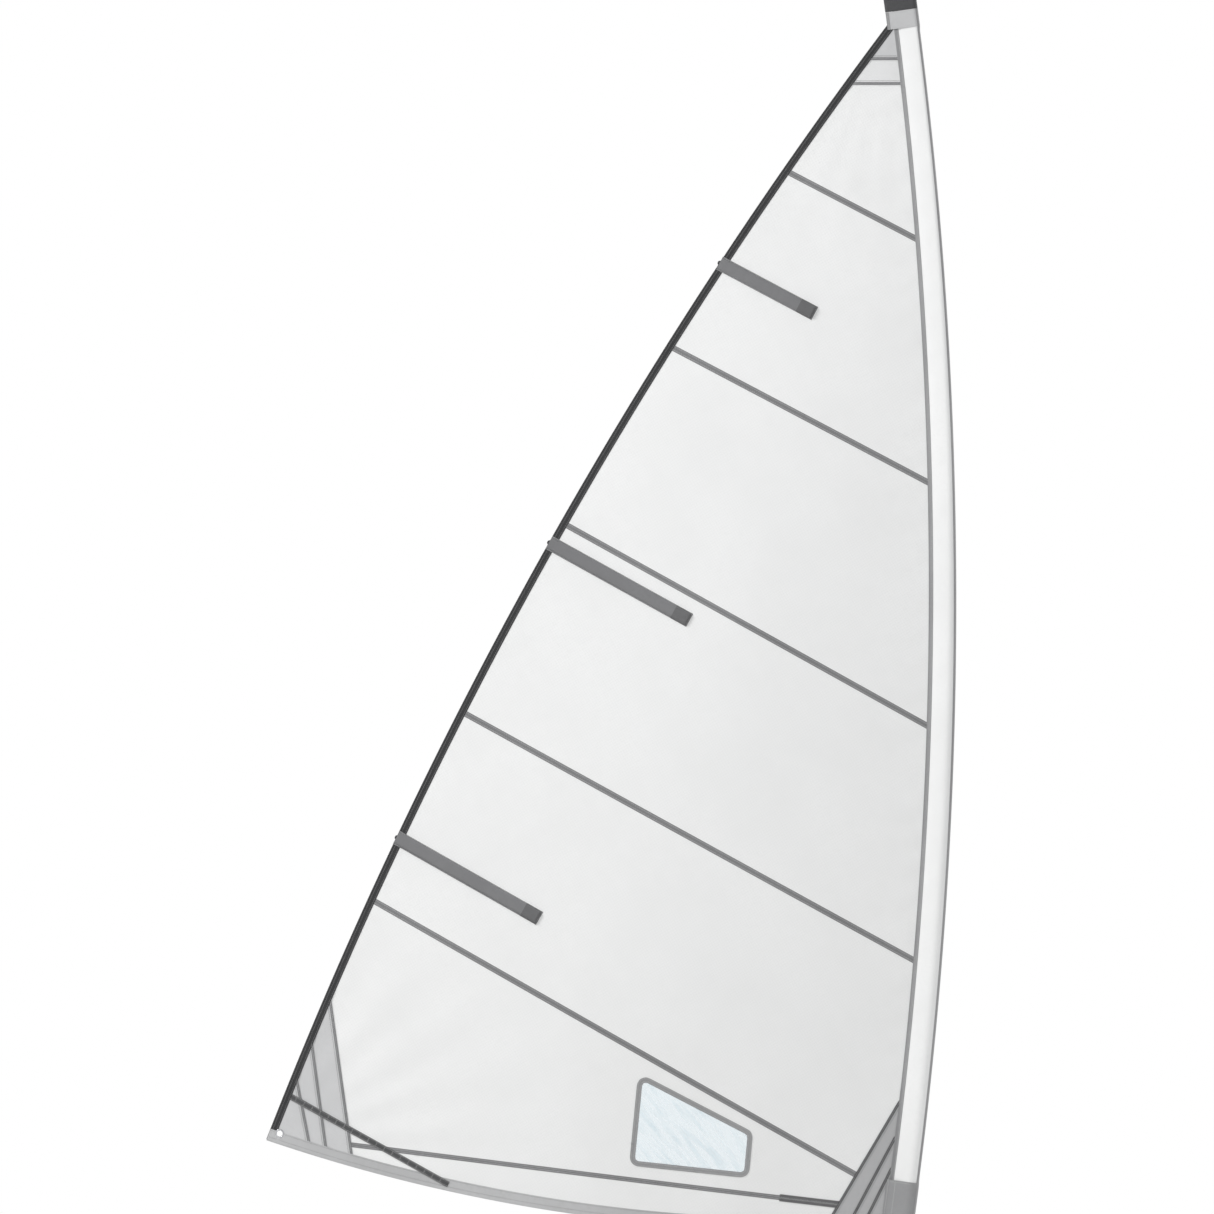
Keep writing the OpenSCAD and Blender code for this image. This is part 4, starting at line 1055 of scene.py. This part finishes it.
def sail_normal(centre):
    """The sail's unit normal towards the near face at a point of its plane."""
    d = 5 * MM
    slopes = [(sail_y(centre + step) - sail_y(centre - step)) / 2 / d
              for step in (np.array([d, 0]), np.array([0, d]))]
    return unit(np.array([slopes[0], -1.0, slopes[1]]))


def drill(piece, centre, radius):
    """Cuts a round hole square to the sail."""
    normal = Vector(sail_normal(centre))
    tool = bpy.data.meshes.new("drill")
    bm = bmesh.new()
    bmesh.ops.create_cone(bm, cap_ends=True, segments=48, radius1=radius, radius2=radius, depth=0.05)
    bm.to_mesh(tool)
    bm.free()
    bit = add(bpy.data.objects.new("drill", tool))
    bit.rotation_euler = normal.to_track_quat("Z", "Y").to_euler()
    bit.location = on_sail(centre, 0.0)
    cut = piece.modifiers.new("eye", "BOOLEAN")
    cut.object = bit
    cut.solver = "EXACT"
    bpy.context.view_layer.update()
    made = bpy.data.meshes.new_from_object(piece.evaluated_get(bpy.context.evaluated_depsgraph_get()))
    piece.modifiers.clear()
    piece.data = made
    bpy.data.objects.remove(bit)


def meeting(arc, other, samples):
    """At each inset of one edge, its t where it is 1 mm inside the other edge."""
    def at(inset):
        points = arc.at(samples, inset)
        over = other.inset_of(points)
        order = np.argsort(over)
        return float(np.interp(MM, over[order], samples[order]))
    return at


def make_tapes():
    last = np.linspace(0.98, 1.02, 400)
    ahead = LUFF_R - np.linalg.norm(leech.at(last, 0.0) - LUFF_C, axis=-1)
    top = float(np.interp(-SLEEVE_HEAD_W, -ahead, last))
    foot_end = meeting(leech, foot, np.linspace(-0.02, 0.03, 400))
    folded_tape("leech_tape", leech, lambda inset: foot_end(inset) + 0.0005, lambda inset: top,
                LEECH_TAPE_W, [CLEW_EYE], lambda p: 0 * p[..., 0])
    start = foot_cut(0.0, SLEEVE_FOOT_W + MM)
    folded_tape("foot_tape", foot, lambda inset: start,
                meeting(foot, leech, np.linspace(0.97, 1.01, 400)),
                FOOT_TAPE_W, [CLEW_EYE, TACK_EYE], over_leech_tape)


# ======================= clew strap =======================
def on_tapes(p):
    """Extra lift of the strap where it crosses both edge tapes."""
    return over_leech_tape(p) + over_tape(p, foot, FOOT_TAPE_W)


def make_strap():
    over = lambda p: stack(p) + 1.3 * MM + on_tapes(p)
    piece = strip_piece("clew_strap_webbing", STRAP, STRAP_W, over, 1.4 * MM, "grey_webbing")
    d = unit(STRAP[1] - STRAP[0])
    side = left(d) * STRAP_SEWN
    length = np.linalg.norm(STRAP[1] - STRAP[0])
    bars = [np.array([STRAP[0] + d * x - side, STRAP[0] + d * x + side])
            for x in np.arange(0.02, length, STRAP_BAR_PITCH)]
    edges = [STRAP - side, STRAP + side]
    top = lambda p: stack(p) + 2.1 * MM + on_tapes(p)
    stitches(piece, [(line, top) for line in bars + edges], "pale_thread", width=4 * MM)
    sewn_on(piece, "clew_strap")


# ======================= batten pockets =======================
POCKET_T = 8.6 * MM
BATTEN_T = 4.0 * MM
BATTEN_LIFT = 1.8 * MM


def make_pocket(name, start, degrees):
    """A strip sewn down along both edges and raised over its batten, open at the leech."""
    node = name + "_batten_pocket"
    along = heading(degrees)
    side = -left(along)
    length = float(reach(start, along, leech.centre, LEECH_R))
    x = np.concatenate([np.array([-9, -5, -1, 0, 1, 3, 8, 16]) * MM, np.linspace(0.03, length, 40)])
    half = np.array([2.5, 8, 14, 19, 20, 21.2, 22.4, 23.5, 25.2, 27]) * MM
    w = np.concatenate([-half[::-1], half])
    p = start + along * x[:, None, None] + side * w[None, :, None]
    line_end = start + along * length
    y_start, y_end = -on_pocket(start, line_end, 0.0), -on_pocket(start, line_end, 1.0)
    top = y_start + (y_end - y_start) * (x / length)[:, None] + 0 * w
    top = top + 0.3 * MM * np.sin(2 * math.pi * x / 0.047 + 1.5 * np.sin(40 * x))[:, None]
    margin = lambda q: 0.8 * MM + 0.85 * over_leech_tape(q)
    flat = -sail_y(p) + margin(p)
    raised = smooth((23.5 * MM - np.abs(w)) / (4.5 * MM))[None] * smooth((x + 1.5 * MM) / (2.5 * MM))[:, None]
    y = -(flat + (np.maximum(top, flat) - flat) * raised)
    grid = facing(np.stack([p[..., 0], y, p[..., 1]], -1))
    piece = grid_piece(node + "_cloth", grid, 0.7 * MM, "pocket_cloth")
    sewn = lambda q: margin(q) + 0.35 * MM + POKE
    rows = [(np.array([start + side * s, line_end + side * s]), sewn) for s in (-POCKET_SEWN, POCKET_SEWN)]
    rows.append((np.array([start - side * 24 * MM, start + side * 24 * MM]) - along * 6 * MM, 1.9 * MM))
    stitches(piece, rows, "pale_thread", width=3 * MM)
    sewn_on(piece, node)
    end_grid = grid[x < POCKET_END].copy()
    end_grid[..., 1] -= 0.75 * MM
    end = grid_piece(node + "_end", end_grid, 0.8 * MM, "pocket_end")
    sewn_on(end)


def on_pocket(start, end, t):
    """Y of the pocket's cloth over the batten, at the share t of the way to the leech."""
    y0 = float(flat_y(start))
    side = -left(unit(end - start))
    worst = 0.0
    for share in np.linspace(0, 1, 9):
        for w in (-POCKET_W / 2, 0.0, POCKET_W / 2):
            worst = max(worst, y0 * (1 - share) - float(flat_y(start + (end - start) * share + side * w)))
    batten_top = worst + BATTEN_LIFT + (POCKET_T + BATTEN_T) / 2
    return y0 * (1 - t) - batten_top - 0.8 * MM


def flat_y(p):
    """The sail's surface without its creases."""
    return sail_y(p) + creases(p)


# ======================= sleeve =======================
def mast_arc(s, radius, angles):
    """(depth, y) on a circle round the mast. Angle 0 is at its front."""
    return np.stack([float(mast_depth(s)) - radius * np.cos(angles), radius * np.sin(angles)], 1)


def section(s, grow, width, half, bulge=0.0):
    """(depth, y) round the mast from the near lip over the nose to the far lip."""
    radius = float(mast_r(s)) + FRONT_GAP + grow
    turn = math.pi - math.acos(radius / (width - float(mast_depth(s))))
    arc = mast_arc(s, radius, np.linspace(-turn, turn, 17))
    u = np.linspace(0, 1, FLANK_POINTS + 1)[:-1, None]
    near = np.array([width, -half]) * (1 - u) + arc[0] * u
    near[:, 1] -= bulge * np.sin(math.pi * u[:, 0])
    far = near[::-1] * [1, -1]
    return np.concatenate([near, arc, far])


def sleeve_point(s, profile):
    p = luff_at(s, profile[:, 0])
    return np.stack([p[:, 0], profile[:, 1], p[:, 1]], 1)


def swept(s_values, profile_of):
    return np.array([sleeve_point(s, profile_of(s)) for s in s_values])


def sleeve_profile(s):
    """The cloth's middle, with a slight ripple down the sleeve."""
    ripple = math.sin(2 * math.pi * s / 0.115 + 1.1 * math.sin(7 * s)) + 0.6 * math.sin(31 * s)
    return section(s, -SLEEVE_T / 2, sleeve_w(s), LIP_LIFT, bulge=(1.6 + 0.7 * ripple) * MM)


def make_sleeve():
    s = np.linspace(SLEEVE_FOOT_S, CAP_S + 0.02, 220)
    sleeve = grid_piece("luff_sleeve_cloth", swept(s, sleeve_profile), SLEEVE_T, "sleeve_cloth")
    perimeter = float(np.linalg.norm(np.diff(sleeve_profile(1.0), axis=0), axis=1).sum())
    sewn_on(sleeve,
            "luff_sleeve")
    covers = (("sleeve_seam", SLEEVE_FOOT_S, HEAD_BLOCK_S + 0.03, sleeve_profile, SLEEVE_T, 0, 0.010),
              ("foot_block_edge", SLEEVE_FOOT_S + 2 * MM, FOOT_BLOCK_S, foot_block, BLOCK_T, 1, 0.011),
              ("head_block_edge", HEAD_BLOCK_S, CAP_S - MM, head_block, BLOCK_T, 1, 0.011))
    for name, s0, s1, profile_of, cloth, ends_open, width in covers:
        for side, face in (("near", 1), ("far", -1)):
            lip_cover(name + "_" + side, s0, s1, profile_of, cloth, face, ends_open, width)
    make_nose_tape(np.append(s[s < CAP_S - 4 * MM], CAP_S))


def make_nose_tape(s_values):
    """The doubling tape down the sleeve's front, over the blocks at its two ends."""
    rows = []
    for s in s_values:
        on_block = max(smooth((FOOT_BLOCK_S + 4 * MM - s) / (4 * MM)),
                       smooth((s - HEAD_BLOCK_S + 4 * MM) / (4 * MM)))
        radius = float(mast_r(s)) + FRONT_GAP + 0.4 * MM + 2.2 * MM * float(on_block)
        wrap = math.acos(max(0.0, 1 - NOSE_DEPTH / radius))
        a = np.linspace(-wrap, wrap, 9)
        rows.append(sleeve_point(s, mast_arc(s, radius, a)))
    tape = grid_piece("sleeve_nose_tape", np.array(rows), 0.6 * MM, "edge_line")
    sewn_on(tape)


def lip_cover(name, s0, s1, profile_of, cloth, face, ends_open, width):
    """A tape over an aft lip of the sleeve or of a block. A closed lip is sewn to the sail."""
    s = np.linspace(s0, s1, max(8, round((s1 - s0) / 0.02)))
    forward = np.array([-width, -0.6 * width, -0.3 * width, 0.0])
    profiles = [profile_of(v) for v in s]
    lips = np.array([row[0, 0] for row in profiles])
    heights = np.array([np.interp(-(lip + forward), -row[:FLANK_POINTS, 0], -row[:FLANK_POINTS, 1])
                        for lip, row in zip(lips, profiles)])
    heights += cloth / 2 + 0.45 * MM
    depths = np.tile(forward, (len(s), 1))
    if not ends_open:
        aft = np.tile([0.0015, 0.006], (len(s), 1))
        at = luff_at(s[:, None] + 0 * aft, lips[:, None] + aft)
        on_cloth = -face * sail_y(at) + 0.75 * MM + (stack(at) if face > 0 else 0)
        depths, heights = np.hstack([depths, aft]), np.hstack([heights, on_cloth])
        heights[:, 3] = np.maximum(heights[:, 3], on_cloth[:, 0])
    at = luff_at(s[:, None] + 0 * depths, lips[:, None] + depths)
    grid = facing(np.stack([at[..., 0], -face * heights, at[..., 1]], -1), face)
    piece = grid_piece(name, grid, 0.7 * MM, "edge_line")
    row = heights[:, 1] + 0.35 * MM + POKE

    def place(q, _):
        return np.stack([q[:, 0], -face * np.interp(luff_s(q), s, row), q[:, 1]], 1)

    stitches(piece, [(luff_at(s, lips - 0.6 * width), 1.0 * face)], "pale_thread", place, 3 * MM)
    sewn_on(piece)


def foot_block(s, grow=0.0):
    return section(s, 1.5 * MM + grow, SLEEVE_END_W, 9.5 * MM + grow)


def head_block(s, grow=0.0):
    return section(s, 1.5 * MM + grow, SLEEVE_END_W, 4.6 * MM + grow)


def make_block(node, s0, s1, block, shade):
    """A reinforced end of the sleeve: a second skin, open at its aft edge, with hems."""
    s = np.linspace(s0, s1, max(6, round((s1 - s0) / 0.01)))
    piece = grid_piece(node + "_cloth", swept(s, block), BLOCK_T, shade)

    def place(q, lift):
        rows = [block(v, BLOCK_T / 2 + POKE / 2) for v in q[:, 0]]
        y = [np.interp(-d, -row[:12, 0], -row[:12, 1]) for d, row in zip(q[:, 1], rows)]
        at = luff_at(q[:, 0], q[:, 1])
        return np.stack([at[:, 0], -np.sign(lift) * np.array(y), at[:, 1]], 1)

    rows = []
    for face in (1, -1):
        for edge in (s0 + BLOCK_HEM, s1 - BLOCK_HEM):
            rows.append((np.array([(edge, 0.030), (edge, SLEEVE_END_W - 4 * MM)]), 1.0 * face))
        rows.append((np.array([(s0, 0.086), (s1, 0.086)]), 1.0 * face))
    stitches(piece, rows, "pale_thread", place, width=4 * MM)
    sewn_on(piece, node)


def make_cap():
    """The webbing cap over the mast's tip, closed and rounded at the top."""
    top = MAST_LENGTH + 0.014
    rows = [(s, 1.0) for s in np.linspace(CAP_S, top, 14)]
    rows += [(top + 0.0075 * math.sin(a), math.cos(a)) for a in np.linspace(0.15, 1.45, 9)]
    points = []
    for s, share in rows:
        profile = section(min(s, MAST_LENGTH), 1.7 * MM, SLEEVE_END_W, 3.2 * MM)
        middle = SLEEVE_END_W / 2 - 2 * MM
        depth = middle + (profile[:, 0] - middle) * (0.72 + 0.28 * share)
        points.append(sleeve_point(s, np.stack([depth, profile[:, 1] * share], 1)))
    piece = grid_piece("head_cap_webbing", np.array(points), 1.6 * MM, "black_webbing", wrap=True)
    sewn_on(piece, "head_cap")


# ======================= mast =======================
def make_mast():
    for name, node, s0, s1 in (
            ("mast_bottom_tube", "mast_bottom_section", 0.0, BOTTOM_LENGTH - 0.5 * MM),
            ("mast_top_tube", "mast_top_section", BOTTOM_LENGTH + 0.5 * MM, MAST_LENGTH)):
        tube(name, node, s0, s1, 0.0, MAST_WALL, "mast_epoxy")
    tube("mast_ferrule_tube", "mast_ferrule", BOTTOM_LENGTH - 0.13, BOTTOM_LENGTH + 0.13,
         MAST_WALL + 0.6 * MM, 5 * MM, "ferrule")


def tube(name, node, s0, s1, inset, wall, look):
    points = []
    for s in np.linspace(s0, s1, max(8, round((s1 - s0) / 0.05))):
        radius = float(mast_r(s)) - inset - wall / 2
        points.append(sleeve_point(s, mast_arc(s, radius, around(48))))
    piece = grid_piece(name, np.array(points), wall, look, wrap=True)
    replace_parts(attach(piece, "rig"), node)


# ======================= grommets and spring =======================
def lathed(name, profile, centre, axis, look):
    """A closed ring turned from (radius, height) points about an axis."""
    sides = 64
    turn = Vector(axis).normalized().to_track_quat("Z", "Y").to_matrix()
    a = around(sides)
    profile = np.array(profile)
    ring = np.stack([np.outer(np.cos(a), profile[:, 0]), np.outer(np.sin(a), profile[:, 0]),
                     np.outer(np.ones(sides), profile[:, 1])], -1)
    points = ring.reshape(-1, 3) @ np.array(turn).T + np.asarray(centre)
    m = len(profile)
    i, j = np.meshgrid(np.arange(sides), np.arange(m), indexing="ij")
    i2, j2 = (i + 1) % sides, (j + 1) % m
    faces = np.stack([i * m + j, i2 * m + j, i2 * m + j2, i * m + j2], -1).reshape(-1, 4)
    return new_piece(name, points, faces.tolist(), look)


def rolled(centre, start, end, radius, count):
    """Points along an arc, from one angle in degrees to another."""
    a = np.radians(np.linspace(start, end, count))
    return [(centre[0] + radius * math.cos(t), centre[1] + radius * math.sin(t)) for t in a]


def make_grommets():
    for name, (centre, radius) in (("clew_grommet", CLEW_EYE), ("tack_grommet", TACK_EYE)):
        near_z = 3 * PATCH_PITCH + 1.2 * MM
        far_z = -1.6 * MM
        profile = [
            *rolled((radius + 1.6 * MM, near_z), 180, 60, 1.6 * MM, 9),
            (radius + 4.2 * MM, near_z + 0.7 * MM),
            *rolled((radius + 5.4 * MM, near_z + 0.1 * MM), 70, -90, 0.6 * MM, 6),
            (radius + 2.0 * MM, near_z - 0.4 * MM),
            (radius + 1.4 * MM, near_z - 1.2 * MM),
            (radius + 1.4 * MM, far_z + 0.6 * MM),
            *rolled((radius + 5.4 * MM, far_z - 0.3 * MM), 90, -70, 0.6 * MM, 6),
            *rolled((radius + 1.4 * MM, far_z), -70, -180, 1.2 * MM, 8),
            (radius, far_z + 1.2 * MM),
        ]
        piece = lathed(name + "_ring", profile, on_sail(centre, 0.0), sail_normal(centre),
                       "grommet_metal")
        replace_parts(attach(piece, "rig"), name)


def make_spring():
    """The lock's spring as a wire coil of one length; the real one shortens as the button is pressed."""
    low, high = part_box("release_spring")
    turns, wire, sides = 5, 0.35 * MM, 12
    centre = (low + high) / 2
    coil = (high.z - low.z) / 2 - wire
    up = Vector((math.sin(HEEL_LEAN), 0, math.cos(HEEL_LEAN)))
    across = Vector((math.cos(HEEL_LEAN), 0, -math.sin(HEEL_LEAN)))
    points = []
    for t in np.linspace(0, 1, turns * 24 + 1):
        a = 2 * math.pi * turns * t
        out = across * math.cos(a) + up * math.sin(a)
        y = low.y + wire + (high.y - low.y - 2 * wire) * t
        middle = Vector((centre.x, y, centre.z)) + out * coil
        points.append([middle + (out * math.cos(b) + Vector((0, 1, 0)) * math.sin(b)) * wire
                       for b in around(sides)])
    spring = grid_piece("release_spring_coil", np.array(points), 0.02 * MM, "steel", wrap=True)
    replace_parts(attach(spring, "rig"), "release_spring")
    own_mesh(spring)


# ======================= turned, cast and moulded parts =======================
HARDWARE = {  # node: (look, bevel in mm)
    "top_batten": ("batten_fibreglass", 1.2), "middle_batten": ("batten_fibreglass", 1.2),
    "bottom_batten": ("batten_fibreglass", 1.2), "top_batten_cap": ("black_plastic", 1.0),
    "middle_batten_cap": ("black_plastic", 1.0), "bottom_batten_cap": ("black_plastic", 1.0),
    "mast_tip_plug": ("black_plastic", 0.8), "mast_foot_casting": ("cast_aluminium", 0.7),
    "downhaul_cleat": ("black_plastic", 0.4), "cleat_screws": ("steel", 0.4),
    "sheave_left": ("white_plastic", 0.3), "sheave_right": ("white_plastic", 0.3),
    "sheave_axle": ("steel", 0.5), "upper_yoke": ("cast_aluminium", 0.8),
    "upper_pin": ("steel", 0.6), "upper_pin_clip": ("steel", 0.3),
    "release_button": ("red_plastic", 0.6), "universal_link": ("black_plastic", 0.8),
    "lower_yoke": ("cast_aluminium", 0.8), "lower_pin": ("steel", 0.6),
    "lower_pin_clip": ("steel", 0.3), "deck_plate": ("black_plastic", 1.0),
    "deck_pad": ("rubber_pad", 0.5), "swivel_washer": ("steel", 0.3),
    "deck_stud": ("steel", 0.5), "track_nut": ("brass", 0.6),
}


def refined(node, look, bevel):
    """A CAD part again with rounded edges, in its real material."""
    source = frame["nodes"][node]
    mesh = source.data.copy()
    bm = bmesh.new()
    bm.from_mesh(mesh)
    bmesh.ops.remove_doubles(bm, verts=bm.verts, dist=0.01 * MM)
    bmesh.ops.dissolve_limit(bm, angle_limit=math.radians(1), verts=bm.verts, edges=bm.edges)
    bmesh.ops.recalc_face_normals(bm, faces=bm.faces)
    for face in bm.faces:
        face.smooth = True
    for edge in bm.edges:
        edge.smooth = len(edge.link_faces) == 2 and edge.calc_face_angle(0) < math.radians(32)
    bm.to_mesh(mesh)
    bm.free()
    if mesh.has_custom_normals:
        mesh.attributes.remove(mesh.attributes["custom_normal"])
    material, slot = LOOKS[look]
    mesh.materials.clear()
    mesh.materials.append(material)
    piece = add(bpy.data.objects.new(node + "_part", mesh))
    rounding = piece.modifiers.new("rounded", "BEVEL")
    rounding.width = bevel * MM
    rounding.segments = 2
    rounding.limit_method = "ANGLE"
    rounding.angle_limit = math.radians(32)
    flat = piece.modifiers.new("flat_faces", "WEIGHTED_NORMAL")
    flat.keep_sharp = True
    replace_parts(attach(piece, source["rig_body"]), node)


make_sleeve()
make_panels()
make_patches()
make_seams()
make_window()
make_tapes()
make_strap()
for name, (start, degrees) in POCKETS.items():
    make_pocket(name, start, degrees)
make_block("sleeve_foot_reinforcement", SLEEVE_FOOT_S + 2 * MM, FOOT_BLOCK_S, foot_block,
           "reinforcement")
make_block("sleeve_head_reinforcement", HEAD_BLOCK_S, CAP_S - MM, head_block, "pale_reinforcement")
make_cap()
make_mast()
make_grommets()
make_spring()
for node, (look, bevel) in HARDWARE.items():
    refined(node, look, bevel)
